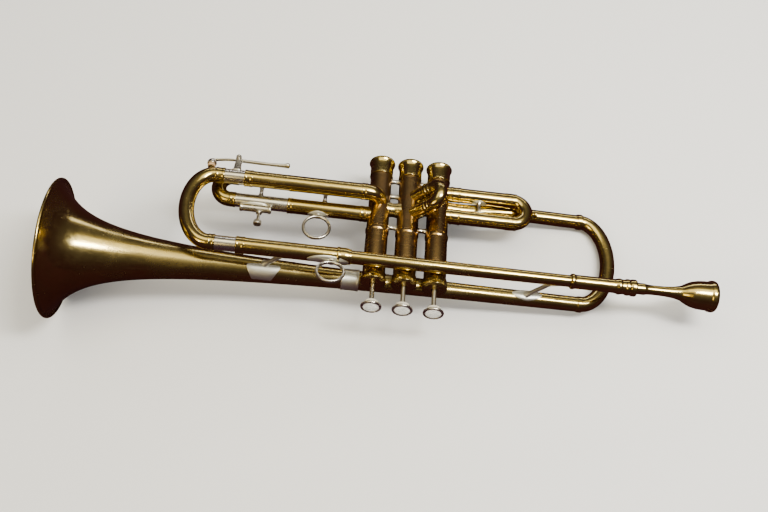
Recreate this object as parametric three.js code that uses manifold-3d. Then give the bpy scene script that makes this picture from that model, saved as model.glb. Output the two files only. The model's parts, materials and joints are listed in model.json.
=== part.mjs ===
// B flat trumpet lying on its side, as an assembly of separate solids. Millimetres.
// +X runs from the bell towards the player, +Y from the finger buttons towards the bottom caps,
// and +Z towards the leadpipe side. Shapes are laid out from the middle valve's axis, and the finished
// instrument is then moved so that its origin is the centre of its overall box, on the bell's level.
import * as THREE from 'three';
import { mergeVertices } from 'three/addons/utils/BufferGeometryUtils.js';
import Module from 'manifold-3d';

const wasm = await Module();
wasm.setup();

// Driving dimensions.
const GAP = 0.3; // air between two separate solids that meet
const WALL = 0.45; // tube wall
const TUBE_SIDES = 12;
const VALVE_SIDES = 16;
const VALVE_PITCH = 25.8;
const STROKE = 16.2;
const CASING = { outer: 9.5, bore: 8.5, top: -13.6, ring: 36.7, bottom: 102 };
const CAP = { top: -17.1, skirt: -6.5, bore: 9.7, flange: 10.75 };
const BOTTOM_CAP = { rim: 96, end: 112.6, floor: 110.6, bore: 9.7, flange: 11.6 };
const PISTON = { radius: 8.42, top: 31, bottom: 94, barrel: 7.4, roof: -12.8 };
const BUTTON = { top: -39.5, under: -36.4, hub: -33.7, radius: 8.8, pearl: 6.6 };
const STEM_RADIUS = 1.9;
const PORT_RADIUS = 4.2;
const LEADPIPE = { y: -3, z: 15.9, receiverEnd: 193, slideEnd: -49 };
const BELL = { y: -2.9, z: -18.8, rimX: -294.7, rim: 59.4, throat: 23, taper: 0.79, tailX: -45.5 };
const TAIL = { bowX: 154, returnX: 157, returnY: 82.3, returnZ: -14.8, depth: 25.6, radius: 6 };
const MAIN = { lowerY: 66.4, outer: 6.8, leg: 6.25, upperX: -141, lowerX: -143.4, bowX: -187.2 };
const FIRST = { nearY: 61.8, farY: 86, outer: 6.5, leg: 5.95, endX: 91 };
const SECOND = { nearY: 56, farY: 74, outer: 6.2, leg: 5.65, tilt: Math.PI / 4.5, rise: 24, bowStart: 29 };
const THIRD = { nearY: 54, farY: 78, outer: 6.6, leg: 6.05, endX: -105, legX: -153.2 };
const CROSSOVER_23 = { y: 61.5, radius: 7.2, waist: 6 };
const CROSSOVER_12 = { y: 65, radius: 5.6, waist: 4.8 };
const MOUTHPIECE = { seat: 171, end: 260.6, rim: 13.5 };
const WATER_KEY = { pivotX: -151, pivotY: 84.5, corkX: -173.5, touchX: -109 };
const THIRD_RING = { x: -78, radius: 12.5 };
const PINKY_RING = { x: -62, radius: 12.3, tilt: 0.23 };
const LYRE = { x: -145, length: 27, y: 44.6, z: 3.5, radius: 3.6, screwX: -128 };

const VALVES = [1, 2, 3];
const valveX = (number) => (2 - number) * VALVE_PITCH;

const BRASS = { color: 0xb08d3c, roughness: 0.3, metalness: 1 };
const RED_BRASS = { color: 0x9c6b3a, roughness: 0.36, metalness: 1 };
const NICKEL_SILVER = { color: 0xbdbcae, roughness: 0.28, metalness: 1 };
const MONEL = { color: 0x8f8c84, roughness: 0.35, metalness: 1 };
const PEARL = { color: 0xd9d8d0, roughness: 0.25, metalness: 0 };
const FELT = { color: 0xb9b09a, roughness: 0.95, metalness: 0 };
const CORK = { color: 0x9a7648, roughness: 0.9, metalness: 0 };
const STEEL = { color: 0x9aa0a4, roughness: 0.35, metalness: 1 };

const trumpet = new THREE.Group();

function add(name, geometry, finish, parent = trumpet) {
  const mesh = new THREE.Mesh(geometry, new THREE.MeshStandardMaterial(finish));
  mesh.name = name;
  parent.add(mesh);
  return mesh;
}

// Keeps positions only and merges the vertices that faces share.
function weld(geometry) {
  geometry.deleteAttribute('uv');
  geometry.deleteAttribute('normal');
  return mergeVertices(geometry, 1e-4);
}

function toSolid(geometry) {
  const welded = weld(geometry.clone());
  const vertProperties = welded.attributes.position.array;
  const triVerts = new Uint32Array(welded.index.array);
  return new wasm.Manifold(new wasm.Mesh({ numProp: 3, vertProperties, triVerts }));
}

function fromSolid(solid) {
  const mesh = solid.getMesh();
  const geometry = new THREE.BufferGeometry();
  geometry.setAttribute('position', new THREE.BufferAttribute(mesh.vertProperties, 3));
  geometry.setIndex(new THREE.BufferAttribute(mesh.triVerts, 1));
  return geometry;
}

const join = (first, ...rest) => fromSolid(rest.reduce((sum, g) => sum.add(toSolid(g)), toSolid(first)));

const cut = (body, ...tools) => fromSolid(tools.reduce((sum, g) => sum.subtract(toSolid(g)), toSolid(body)));

const point = (x, y, z) => new THREE.Vector3(x, y, z);

// A piece turned about the Y axis. The profile is [radius, y] points with the material on the left
// of the path; it closes on itself unless it starts on the axis.
function turned(profile, sides) {
  const points = profile.map(([radius, along]) => new THREE.Vector2(radius, along));
  if (points[0].x > 0) points.push(points[0].clone());
  return weld(new THREE.LatheGeometry(points, sides));
}

// The same, about a line parallel to X through (y, z).
const turnedAlongX = (profile, sides, y, z) =>
  turned(profile, sides).rotateZ(-Math.PI / 2).translate(0, y, z);

// A straight sleeve along X with its bore open at both ends.
const sleeve = (fromX, toX, outer, bore, sides, y, z) =>
  turnedAlongX([[bore, fromX], [outer, fromX], [outer, toX], [bore, toX]], sides, y, z);

function rod(from, to, radius, sides) {
  const along = to.clone().sub(from);
  const geometry = new THREE.CylinderGeometry(radius, radius, along.length(), sides);
  const turn = new THREE.Quaternion().setFromUnitVectors(point(0, 1, 0), along.clone().normalize());
  return geometry.applyQuaternion(turn).translate(...from.clone().lerp(to, 0.5).toArray());
}

// A rod that flares out to a foot at each end.
function spool(from, to, waist, foot, sides) {
  const along = to.clone().sub(from);
  const length = along.length();
  const flare = foot * 0.9;
  const profile = [[0, 0], [foot, 0], [foot, 0.8], [waist, flare], [waist, length - flare],
    [foot, length - 0.8], [foot, length], [0, length]];
  const turn = new THREE.Quaternion().setFromUnitVectors(point(0, 1, 0), along.normalize());
  return turned(profile, sides).applyQuaternion(turn).translate(...from.toArray());
}

const casingSpace = (number) => rod(
  point(valveX(number), -20, 0), point(valveX(number), 120, 0), CASING.outer + GAP, VALVE_SIDES);

// A ring of points round a path; up is a direction the path never runs along.
function ring(centre, tangent, up, radius, sides) {
  const across = new THREE.Vector3().crossVectors(tangent, up).normalize();
  const rise = new THREE.Vector3().crossVectors(across, tangent).normalize();
  return Array.from({ length: sides }, (_, side) => {
    const angle = (2 * Math.PI * side) / sides;
    const offset = across.clone().multiplyScalar(Math.cos(angle)).addScaledVector(rise, Math.sin(angle));
    return centre.clone().addScaledVector(offset, radius);
  });
}

// A bent tube through [centre, outer radius] stations: the outer skin out, the inner skin back.
function pipe(stations, up, sides = TUBE_SIDES, wall = WALL) {
  const last = stations.length - 1;
  const tangents = stations.map((_, i) =>
    stations[Math.min(i + 1, last)][0].clone().sub(stations[Math.max(i - 1, 0)][0]).normalize());
  const skin = (inset) => stations.map(([at, radius], i) => ring(at, tangents[i], up, radius - inset, sides));
  const rings = [...skin(0), ...skin(wall).reverse()];
  const index = [];
  rings.forEach((_, r) => {
    const here = r * sides;
    const next = ((r + 1) % rings.length) * sides;
    for (let side = 0; side < sides; side += 1) {
      const other = (side + 1) % sides;
      index.push(here + side, next + side, next + other);
      index.push(here + side, next + other, here + other);
    }
  });
  const geometry = new THREE.BufferGeometry().setFromPoints(rings.flat());
  geometry.setIndex(index);
  return geometry;
}

// Half an ellipse from start to end that bulges by depth along the outward direction.
function bow(start, end, outward, depth, steps = 9) {
  const middle = start.clone().lerp(end, 0.5);
  const half = start.clone().sub(middle);
  return Array.from({ length: steps + 1 }, (_, i) => {
    const angle = (Math.PI * i) / steps;
    const along = middle.clone().addScaledVector(half, Math.cos(angle));
    return along.addScaledVector(outward, depth * Math.sin(angle));
  });
}

// A quarter turn from start to end, tangent to the two lines that meet at the corner.
function elbow(start, corner, end, steps = 4) {
  const centre = start.clone().add(end).sub(corner);
  const first = start.clone().sub(centre);
  const second = end.clone().sub(centre);
  return Array.from({ length: steps + 1 }, (_, i) => {
    const angle = (Math.PI / 2) * (i / steps);
    return centre.clone().addScaledVector(first, Math.cos(angle)).addScaledVector(second, Math.sin(angle));
  });
}

const withRadius = (points, radius) => points.map((at) => [at, radius]);

// ---- Bell and its tail ----

const flare = (distance) => BELL.rim * (BELL.throat / (distance + BELL.throat)) ** BELL.taper;

function bell() {
  const stationCount = 11;
  const firstStation = 2.6;
  const length = BELL.tailX - BELL.rimX;
  const growth = (length / firstStation) ** (1 / stationCount);
  const distances = Array.from({ length: stationCount + 1 }, (_, i) => firstStation * growth ** i);
  const sheet = 0.8;
  const slope = (distance) => (BELL.taper * flare(distance)) / (distance + BELL.throat);
  const outer = distances.map((d) => [flare(d), d]);
  const inner = distances.map((d) => [flare(d) - sheet * Math.hypot(1, slope(d)), d]).reverse();
  const bead = 1.4;
  const beadCentre = BELL.rim - bead;
  const beadArc = [-45, 0, 45, 90].map((degrees) => {
    const angle = THREE.MathUtils.degToRad(degrees);
    return [beadCentre + bead * Math.cos(angle), bead + bead * Math.sin(angle)];
  });
  const rimFace = [[56.9, 0], [58.5, 0]];
  const profile = [...rimFace, ...beadArc, [56.6, 1.9], ...outer, ...inner];
  return turnedAlongX(profile, 24, BELL.y, BELL.z).translate(BELL.rimX, 0, 0);
}

function bellFerrule() {
  const bore = 9;
  const profile = [[bore, -52], [9.5, -52], [10, -51.2], [10, -49.8], [9.6, -49], [9.6, -40],
    [10, -39.2], [10, -37.8], [9.5, -37], [bore, -37]];
  return turnedAlongX(profile, VALVE_SIDES, BELL.y, BELL.z);
}

const TAIL_PORT = { y: 74, direction: point(0.76, 0, -0.65) };

function bellBow() {
  const axisPoint = (x) => point(x, BELL.y, BELL.z);
  const turnBack = bow(axisPoint(TAIL.bowX), point(TAIL.returnX, TAIL.returnY, TAIL.returnZ),
    point(1, 0, 0), TAIL.depth, 11);
  const tailEnd = point(valveX(1) + 4.5, TAIL_PORT.y, -5.6);
  const stations = [
    [axisPoint(BELL.tailX + 0.5), flare(BELL.tailX - BELL.rimX)],
    [axisPoint(60), 7.2],
    ...withRadius(turnBack, 6.6),
    [point(97, 82, -13.3), TAIL.radius],
    [point(70, 78.2, -10.5), TAIL.radius],
    [point(46, 74.6, -7.5), TAIL.radius],
    [tailEnd, TAIL.radius],
  ];
  return cut(pipe(stations, point(0, 0, 1)), casingSpace(1));
}

// ---- Leadpipe, receiver and mouthpiece ----

function leadpipe() {
  const narrow = 4.9;
  const wide = 5.7;
  const profile = [
    [wide - 0.7, LEADPIPE.slideEnd], [wide, LEADPIPE.slideEnd], [narrow, 150], [narrow - 0.7, 150]];
  return turnedAlongX(profile, VALVE_SIDES, LEADPIPE.y, LEADPIPE.z);
}

function leadpipeFerrule() {
  const profile = [[7, -58], [7.3, -58], [7.6, -57.2], [7.6, -55.8], [7.3, -55], [7.3, -50], [6.8, -47],
    [6.5, -46], [6, -46], [6, -50], [7, -50]];
  return turnedAlongX(profile, VALVE_SIDES, LEADPIPE.y, LEADPIPE.z);
}

function receiver() {
  const bore = 5.2;
  const end = LEADPIPE.receiverEnd;
  const profile = [[bore, 137.5], [6.1, 137.5], [6.6, 138.3], [6.6, 140.6], [5.9, 141.4], [5.9, end - 17],
    [6.9, end - 15], [6.5, end - 9], [7.1, end - 7], [6.7, end - 5], [7.25, end - 3.4], [7.25, end - 0.8],
    [6.8, end], [bore, end]];
  return turnedAlongX(profile, VALVE_SIDES, LEADPIPE.y, LEADPIPE.z);
}

function mouthpiece() {
  const { seat, end, rim } = MOUTHPIECE;
  const shank = [[3.7, seat], [4.35, seat], [4.95, seat + 29], [4.2, seat + 32], [4.5, seat + 50]];
  const cup = [[6.4, end - 29], [10.4, end - 23], [12.4, end - 15], [12.6, end - 6], [rim, end - 3.6],
    [rim, end - 1.4], [12.4, end], [10.4, end]];
  const inside = [[8.4, end - 2.4], [7.6, end - 9], [5.2, end - 16], [1.85, end - 21], [1.85, end - 32]];
  return turnedAlongX([...shank, ...cup, ...inside], VALVE_SIDES, LEADPIPE.y, LEADPIPE.z);
}

// ---- Main tuning slide ----

const MAIN_Z = LEADPIPE.z;

function mainOuterUpper() {
  const bore = MAIN.outer - WALL;
  const end = LEADPIPE.slideEnd - 1.6;
  const profile = [
    [bore, MAIN.upperX], [7.3, MAIN.upperX], [7.3, MAIN.upperX + 6], [MAIN.outer, MAIN.upperX + 7],
    [MAIN.outer, end], [bore, end]];
  return turnedAlongX(profile, TUBE_SIDES, LEADPIPE.y, MAIN_Z);
}

function mainOuterLower() {
  const at = (x, z = MAIN_Z) => point(x, MAIN.lowerY, z);
  const bend = 11.7;
  const x3 = valveX(3);
  const turnDown = elbow(at(x3 - bend), at(x3), at(x3, MAIN_Z - bend));
  const stations = [[at(MAIN.lowerX), MAIN.outer], ...withRadius(turnDown, MAIN.outer)];
  const endRing = sleeve(
    MAIN.lowerX, MAIN.lowerX + 6, 7.3, MAIN.outer - WALL / 2, TUBE_SIDES, MAIN.lowerY, MAIN_Z);
  return cut(join(pipe(stations, point(0, 1, 0)), endRing), casingSpace(3));
}

const MAIN_LEG_INNER_END = -88;

const mainLegUpper = () => sleeve(
  -158.3, MAIN_LEG_INNER_END, MAIN.leg, MAIN.leg - WALL, TUBE_SIDES, LEADPIPE.y, MAIN_Z);

// The lower leg carries the water key's saddle: two cheeks and the pivot screw between them.
function mainLegLower() {
  const { pivotX, pivotY } = WATER_KEY;
  const leg = sleeve(-160.3, MAIN_LEG_INNER_END, MAIN.leg, MAIN.leg - WALL, TUBE_SIDES, MAIN.lowerY, MAIN_Z);
  const surface = MAIN.lowerY + MAIN.leg - 0.3;
  const cheekHeight = pivotY + 2.4 - surface;
  const cheeks = [-4.4, 4.4].map((offset) => new THREE.BoxGeometry(5, cheekHeight, 1.2)
    .translate(pivotX, surface + cheekHeight / 2, MAIN_Z + offset));
  const base = new THREE.BoxGeometry(7, 1.6, 10).translate(pivotX, surface + 0.8, MAIN_Z);
  const screw = rod(point(pivotX, pivotY, MAIN_Z - 5.4), point(pivotX, pivotY, MAIN_Z + 5.8), 1.2, 8);
  return join(leg, base, ...cheeks, screw);
}

function mainBow() {
  const upper = (x) => point(x, LEADPIPE.y, MAIN_Z);
  const lower = (x) => point(x, MAIN.lowerY, MAIN_Z);
  const ferrule = 6.9;
  const tube = 6.45;
  const middleX = -166;
  const turnBack = bow(upper(middleX + 2), lower(middleX - 2), point(-1, 0, 0), middleX - MAIN.bowX, 12);
  const stations = [
    [upper(-158.6), ferrule],
    [upper(-163), ferrule],
    [upper(-163.4), tube],
    ...withRadius(turnBack, tube),
    [lower(-167.4), tube],
    [lower(-167), ferrule],
    [lower(-160.6), ferrule],
  ];
  const nippleAt = (y) => point(WATER_KEY.corkX, y, MAIN_Z);
  const nipple = rod(nippleAt(68.8), nippleAt(74.4), 2.8, 8);
  const drain = rod(nippleAt(66), nippleAt(76), 1.3, 6);
  return cut(join(pipe(stations, point(0, 0, 1)), nipple), drain);
}

function waterKey() {
  const { pivotX, pivotY, corkX, touchX } = WATER_KEY;
  const cup = turned([[0, 77.1], [3.9, 77.1], [4.1, 78.6], [3.2, 81], [1.4, 82.6], [0, 82.6]], TUBE_SIDES)
    .translate(corkX, 0, MAIN_Z);
  const corkArm = rod(point(corkX, 82, MAIN_Z), point(pivotX, pivotY, MAIN_Z), 1.3, 8);
  const touchArm = rod(point(pivotX, pivotY, MAIN_Z), point(touchX, pivotY - 1.1, MAIN_Z), 1.2, 8);
  const paddle = new THREE.BoxGeometry(14, 1.5, 5.4).translate(touchX + 2, pivotY - 1.1, MAIN_Z);
  const hub = rod(point(pivotX, pivotY, MAIN_Z - 3.4), point(pivotX, pivotY, MAIN_Z + 3.4), 2.4, TUBE_SIDES);
  const hole = rod(point(pivotX, pivotY, MAIN_Z - 5), point(pivotX, pivotY, MAIN_Z + 5), 1.5, TUBE_SIDES);
  return cut(join(cup, corkArm, touchArm, paddle, hub), hole);
}

const cork = () => turned([[0, 74.7], [3.3, 74.7], [3.3, 76.8], [0, 76.8]], TUBE_SIDES)
  .translate(WATER_KEY.corkX, 0, MAIN_Z);

// ---- Valves. Each valve is built about its own Y axis and placed by its group. ----

const LEFT = point(-1, 0, 0);
const RIGHT = point(1, 0, 0);
const UP = point(0, 0, 1);
const SECOND_WAY = point(Math.sin(SECOND.tilt), 0, Math.cos(SECOND.tilt));

// The main line's two ports on each casing, and the two ports of that valve's own slide.
const PORTS = {
  1: {
    line: [{ y: CROSSOVER_12.y, way: LEFT }, { y: TAIL_PORT.y, way: TAIL_PORT.direction }],
    loop: [{ y: FIRST.nearY, way: RIGHT }, { y: FIRST.farY, way: RIGHT }],
  },
  2: {
    line: [{ y: CROSSOVER_23.y, way: LEFT }, { y: CROSSOVER_12.y, way: RIGHT }],
    loop: [{ y: SECOND.nearY, way: SECOND_WAY }, { y: SECOND.farY, way: SECOND_WAY }],
  },
  3: {
    line: [{ y: MAIN.lowerY, way: UP }, { y: CROSSOVER_23.y, way: RIGHT }],
    loop: [{ y: THIRD.nearY, way: LEFT }, { y: THIRD.farY, way: LEFT }],
  },
};

const portRod = ({ y, way }, from, to, radius) => rod(
  point(0, y, 0).addScaledVector(way, from), point(0, y, 0).addScaledVector(way, to), radius, 8);

function casing(number) {
  const { outer, bore, top, ring: ringY, bottom } = CASING;
  const profile = [[bore, top], [outer, top], [outer, ringY - 1.8], [outer + 0.6, ringY - 1.1],
    [outer + 0.6, ringY + 1.1], [outer, ringY + 1.8], [outer, bottom], [bore, bottom]];
  const { line, loop } = PORTS[number];
  const ports = [...line, ...loop].map((port) => portRod(port, 4, 12, PORT_RADIUS));
  const shell = cut(turned(profile, VALVE_SIDES), ...ports);
  return number === 2 ? withPosts(shell) : shell;
}

// Soldered posts on the middle casing reach to the casings on both sides.
function withPosts(shell) {
  const places = [[-1, 42.5], [1, 42.5], [-1, 76], [-1, 92.7], [1, 92.7]];
  const posts = places.map(([side, y]) => {
    const from = point(side * (CASING.outer - 0.6), y, 0);
    const to = point(side * (VALVE_PITCH - CASING.outer + 1), y, 0);
    const neighbour = rod(point(side * VALVE_PITCH, y - 6, 0), point(side * VALVE_PITCH, y + 6, 0),
      CASING.outer + GAP, VALVE_SIDES);
    return cut(spool(from, to, 1.8, 3, 8), neighbour);
  });
  return join(shell, ...posts);
}

function topCap() {
  const { top, skirt, bore, flange } = CAP;
  const hole = STEM_RADIUS + 0.4;
  const profile = [[hole, top], [9.2, top], [flange, top + 1.6], [flange, top + 5.4], [10.2, top + 6.2],
    [10.2, skirt], [bore, skirt], [bore, top + 2.2], [hole, top + 2.2]];
  return turned(profile, VALVE_SIDES);
}

function bottomCap() {
  const { rim, end, floor, bore, flange } = BOTTOM_CAP;
  const profile = [[0, floor], [bore, floor], [bore, rim], [10.3, rim], [10.3, end - 7.5],
    [10.6, end - 4], [flange, end - 2], [flange, end], [8.6, end], [8, end - 1], [0, end - 1]];
  return turned(profile, VALVE_SIDES);
}

// The ported body with the spring barrel on top; slots in the barrel let the fixed guide through.
function piston(number) {
  const { radius, top, bottom, barrel, roof } = PISTON;
  const body = turned(
    [[0, roof], [barrel, roof], [barrel, top], [radius, top], [radius, bottom], [0, bottom]], VALVE_SIDES);
  const inside = barrel - 0.8;
  const hollow = turned([[0, roof + 1], [inside, roof + 1], [inside, top], [0, top]], VALVE_SIDES);
  const slotTop = 8;
  const slot = new THREE.BoxGeometry(3.4, top - slotTop, 20).translate(0, (top + slotTop) / 2, 0);
  const [inlet, outlet] = PORTS[number].line;
  const middleY = (inlet.y + outlet.y) / 2;
  const onWay = (y, way, distance) => point(0, y, 0).addScaledVector(way, distance);
  const passages = [inlet, outlet].map(({ y, way }) =>
    rod(onWay(middleY, way, -1.5), onWay(y, way, 9.5), PORT_RADIUS, 8));
  const pockets = [inlet, outlet, ...PORTS[number].loop].map(({ y, way }) =>
    portRod({ y: y - STROKE, way }, 6, 10, 3.2));
  return cut(body, hollow, slot, ...passages, ...pockets);
}

function guide() {
  const disc = turned([[0, 26.6], [6.2, 26.6], [6.2, 28.6], [0, 28.6]], VALVE_SIDES);
  return join(disc, new THREE.BoxGeometry(2.8, 2, 16.2).translate(0, 27.6, 0));
}

class Helix extends THREE.Curve {
  constructor(radius, fromY, toY, turns) {
    super();
    Object.assign(this, { radius, fromY, toY, turns });
  }

  getPoint(share) {
    const angle = 2 * Math.PI * this.turns * share;
    const y = THREE.MathUtils.lerp(this.fromY, this.toY, share);
    return point(this.radius * Math.cos(angle), y, this.radius * Math.sin(angle));
  }
}

function spring() {
  const wire = 0.6;
  const corners = [[wire, 0], [0, wire], [-wire, 0], [0, -wire]];
  const section = new THREE.Shape(corners.map(([x, y]) => new THREE.Vector2(x, y)));
  const extrudePath = new Helix(5.2, PISTON.roof + 2.2, 25.6, 5);
  return weld(new THREE.ExtrudeGeometry(section, { steps: 40, extrudePath, bevelEnabled: false }));
}

function stem() {
  const foot = PISTON.roof - GAP;
  const profile = [[0, BUTTON.hub + GAP], [STEM_RADIUS, BUTTON.hub + GAP], [STEM_RADIUS, foot - 1.4],
    [4, foot - 1.4], [4, foot], [0, foot]];
  return turned(profile, TUBE_SIDES);
}

function fingerButton() {
  const { top, under, hub, radius, pearl } = BUTTON;
  const profile = [[0, top + 1.2], [pearl + 0.35, top + 1.2], [pearl + 0.35, top], [radius - 0.4, top],
    [radius, top + 0.6], [radius, top + 1.7], [radius - 1.2, under], [2.9, under], [2.9, hub], [0, hub]];
  return turned(profile, VALVE_SIDES);
}

function pearlInlay() {
  const { top, pearl } = BUTTON;
  return turned([[0, top - 0.4], [4.4, top - 0.25], [pearl, top + 0.3], [pearl, top + 0.9], [0, top + 0.9]],
    VALVE_SIDES);
}

const stemFelt = () => turned([[3.3, -35.9], [5.8, -35.9], [5.8, BUTTON.hub], [3.3, BUTTON.hub]], TUBE_SIDES);

function crossover(leftValve, { y, radius, waist }) {
  const bore = PORT_RADIUS + 0.1;
  const middle = (valveX(leftValve) + valveX(leftValve - 1)) / 2;
  const half = VALVE_PITCH / 2 - 5;
  const profile = [[bore, -half], [radius, -half], [radius, -4], [waist, -1.6], [waist, 1.6], [radius, 4],
    [radius, half], [bore, half]];
  const tube = turnedAlongX(profile, TUBE_SIDES, y, 0).translate(middle, 0, 0);
  return cut(tube, casingSpace(leftValve), casingSpace(leftValve - 1));
}

// ---- Valve slides ----

function firstOuter() {
  const start = valveX(1) + 4;
  const tubes = [FIRST.nearY, FIRST.farY].flatMap((y) => [
    sleeve(start, FIRST.endX, FIRST.outer, FIRST.outer - WALL, TUBE_SIDES, y, 0),
    sleeve(start + 7, start + 16, FIRST.outer + 0.6, FIRST.outer - WALL / 2, TUBE_SIDES, y, 0),
  ]);
  const brace = spool(point(62.7, FIRST.nearY + 6, 2), point(62.7, FIRST.farY - 6, 2), 1.4, 2.4, 8);
  return cut(join(...tubes, brace), casingSpace(1));
}

function firstSlide() {
  const near = (x) => point(x, FIRST.nearY, 0);
  const far = (x) => point(x, FIRST.farY, 0);
  const depth = (FIRST.farY - FIRST.nearY) / 2;
  const curve = bow(near(FIRST.endX + 1.2), far(FIRST.endX + 1.2), RIGHT, depth, 8);
  const stations = [
    [near(46), FIRST.leg],
    [near(FIRST.endX + 0.3), FIRST.leg],
    ...withRadius(curve, FIRST.outer - 0.1),
    [far(FIRST.endX + 0.3), FIRST.leg],
    [far(46), FIRST.leg],
  ];
  const knobProfile = [[0, 0], [1.6, 0], [1.5, 1.6], [2.9, 2.6], [2.9, 4], [0, 4.6]];
  const knob = turnedAlongX(knobProfile, 8, FIRST.nearY + depth, 0)
    .translate(FIRST.endX + depth + FIRST.outer + 0.7, 0, 0);
  return join(pipe(stations, UP), knob);
}

// The middle slide is built upright along Z, then tilted about the valve's axis.
const tilted = (geometry) => geometry.rotateY(SECOND.tilt);

function secondOuter(y) {
  const from = point(0, y, 4);
  const to = point(0, y, SECOND.rise);
  const bore = rod(point(0, y, 0), point(0, y, 40), SECOND.outer - WALL, TUBE_SIDES);
  const collar = rod(point(0, y, SECOND.rise - 3), to, SECOND.outer + 0.5, TUBE_SIDES);
  return cut(tilted(cut(join(rod(from, to, SECOND.outer, TUBE_SIDES), collar), bore)), casingSpace(2));
}

function secondSlide() {
  const near = (z) => point(0, SECOND.nearY, z);
  const far = (z) => point(0, SECOND.farY, z);
  const legEnd = SECOND.rise + GAP;
  const sleeveStart = legEnd + 0.8;
  const depth = (SECOND.farY - SECOND.nearY) / 2;
  const bowRadius = 6;
  const stations = [
    [near(12), SECOND.leg],
    [near(legEnd), SECOND.leg],
    [near(sleeveStart), bowRadius],
    ...withRadius(bow(near(SECOND.bowStart), far(SECOND.bowStart), UP, depth, 8), bowRadius),
    [far(sleeveStart), bowRadius],
    [far(legEnd), SECOND.leg],
    [far(12), SECOND.leg],
  ];
  return tilted(pipe(stations, RIGHT));
}

function thirdOuter() {
  const tubes = [THIRD.nearY, THIRD.farY].flatMap((y) => [
    sleeve(THIRD.endX, valveX(3) - 4, THIRD.outer, THIRD.outer - WALL, TUBE_SIDES, y, 0),
    sleeve(THIRD.endX, THIRD.endX + 4, THIRD.outer + 0.4, THIRD.outer - WALL / 2, TUBE_SIDES, y, 0),
  ]);
  const brace = spool(point(-73.4, THIRD.nearY + 6.1, 0), point(-73.4, THIRD.farY - 6.1, 0), 1.4, 2.6, 8);
  return cut(join(...tubes, brace), casingSpace(3));
}

function thirdLegs() {
  const legs = [THIRD.nearY, THIRD.farY].map((y) =>
    sleeve(THIRD.legX, -48, THIRD.leg, THIRD.leg - WALL, TUBE_SIDES, y, 0));
  const brace = spool(point(-129, THIRD.nearY + 5.8, 0), point(-129, THIRD.farY - 5.8, 0), 1.4, 2.6, 8);
  return join(...legs, brace);
}

function thirdBow() {
  const near = (x) => point(x, THIRD.nearY, 0);
  const far = (x) => point(x, THIRD.farY, 0);
  const start = THIRD.legX - 0.3;
  const stations = [
    [near(start), 6.6],
    ...withRadius(bow(near(start - 1.6), far(start - 1.6), LEFT, 10.9, 8), 6.4),
    [far(start), 6.6],
  ];
  return pipe(stations, UP);
}

// A finger ring with a foot plate that stands on a tube; the ring lies in the XY plane.
function fingerRing(radius, footX, footLength) {
  const wire = 1.3;
  const hoop = new THREE.TorusGeometry(radius - wire, wire, 6, 16);
  const plate = new THREE.BoxGeometry(footLength, 1.2, 5.2).translate(footX, radius - 0.3, 0);
  return join(hoop, plate);
}

function lyreSocket() {
  const { x, length, y, z, radius, screwX } = LYRE;
  const socket = sleeve(x, x + length, radius, 2.1, TUBE_SIDES, y, z);
  const boss = rod(point(screwX, y - radius - 1.6, z), point(screwX, y - 2.4, z), 2.6, 8);
  const thread = rod(point(screwX, y - radius - 3, z), point(screwX, y, z), 1.6, 8);
  return cut(join(socket, boss), thread);
}

function lyreScrew() {
  const { y, z, screwX } = LYRE;
  const tip = y - 1.8;
  const profile = [
    [0, 28], [3.1, 28], [3.5, 28.8], [3.5, 31.4], [2.2, 32.6], [1.25, 33.4], [1.25, tip], [0, tip]];
  return turned(profile, 8).translate(screwX, 0, z);
}

// ---- Braces between the leadpipe side and the bell side ----

const alongX = (y, z, radius) => rod(point(-300, y, z), point(200, y, z), radius + GAP, TUBE_SIDES);

function receiverBrace() {
  const top = point(124, LEADPIPE.y, LEADPIPE.z - 3);
  const post = spool(top, point(107, BELL.y, BELL.z + 4), 1.9, 3.8, TUBE_SIDES);
  return cut(post, alongX(LEADPIPE.y, LEADPIPE.z, 5.3), alongX(BELL.y, BELL.z, 7.2));
}

function bellBrace() {
  const top = point(-101, LEADPIPE.y, LEADPIPE.z - 4);
  const post = spool(top, point(-117, BELL.y, BELL.z + 7), 1.9, 4, TUBE_SIDES);
  return cut(post, alongX(LEADPIPE.y, LEADPIPE.z, MAIN.outer), alongX(BELL.y, BELL.z, 11.2));
}

// ---- Assembly ----

add('bell', bell(), BRASS);
add('bell_ferrule', bellFerrule(), NICKEL_SILVER);
add('bell_bow', bellBow(), BRASS);
add('leadpipe', leadpipe(), BRASS);
add('leadpipe_ferrule', leadpipeFerrule(), BRASS);
add('mouthpiece_receiver', receiver(), BRASS);
add('mouthpiece', mouthpiece(), BRASS);
add('receiver_brace', receiverBrace(), BRASS);
add('bell_brace', bellBrace(), BRASS);

add('main_slide_outer_upper', mainOuterUpper(), BRASS);
add('main_slide_outer_lower', mainOuterLower(), BRASS);
add('main_slide_leg_upper', mainLegUpper(), NICKEL_SILVER);
add('main_slide_leg_lower', mainLegLower(), NICKEL_SILVER);
add('main_slide_bow', mainBow(), BRASS);
add('water_key', waterKey(), NICKEL_SILVER);
add('water_key_cork', cork(), CORK);

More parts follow.
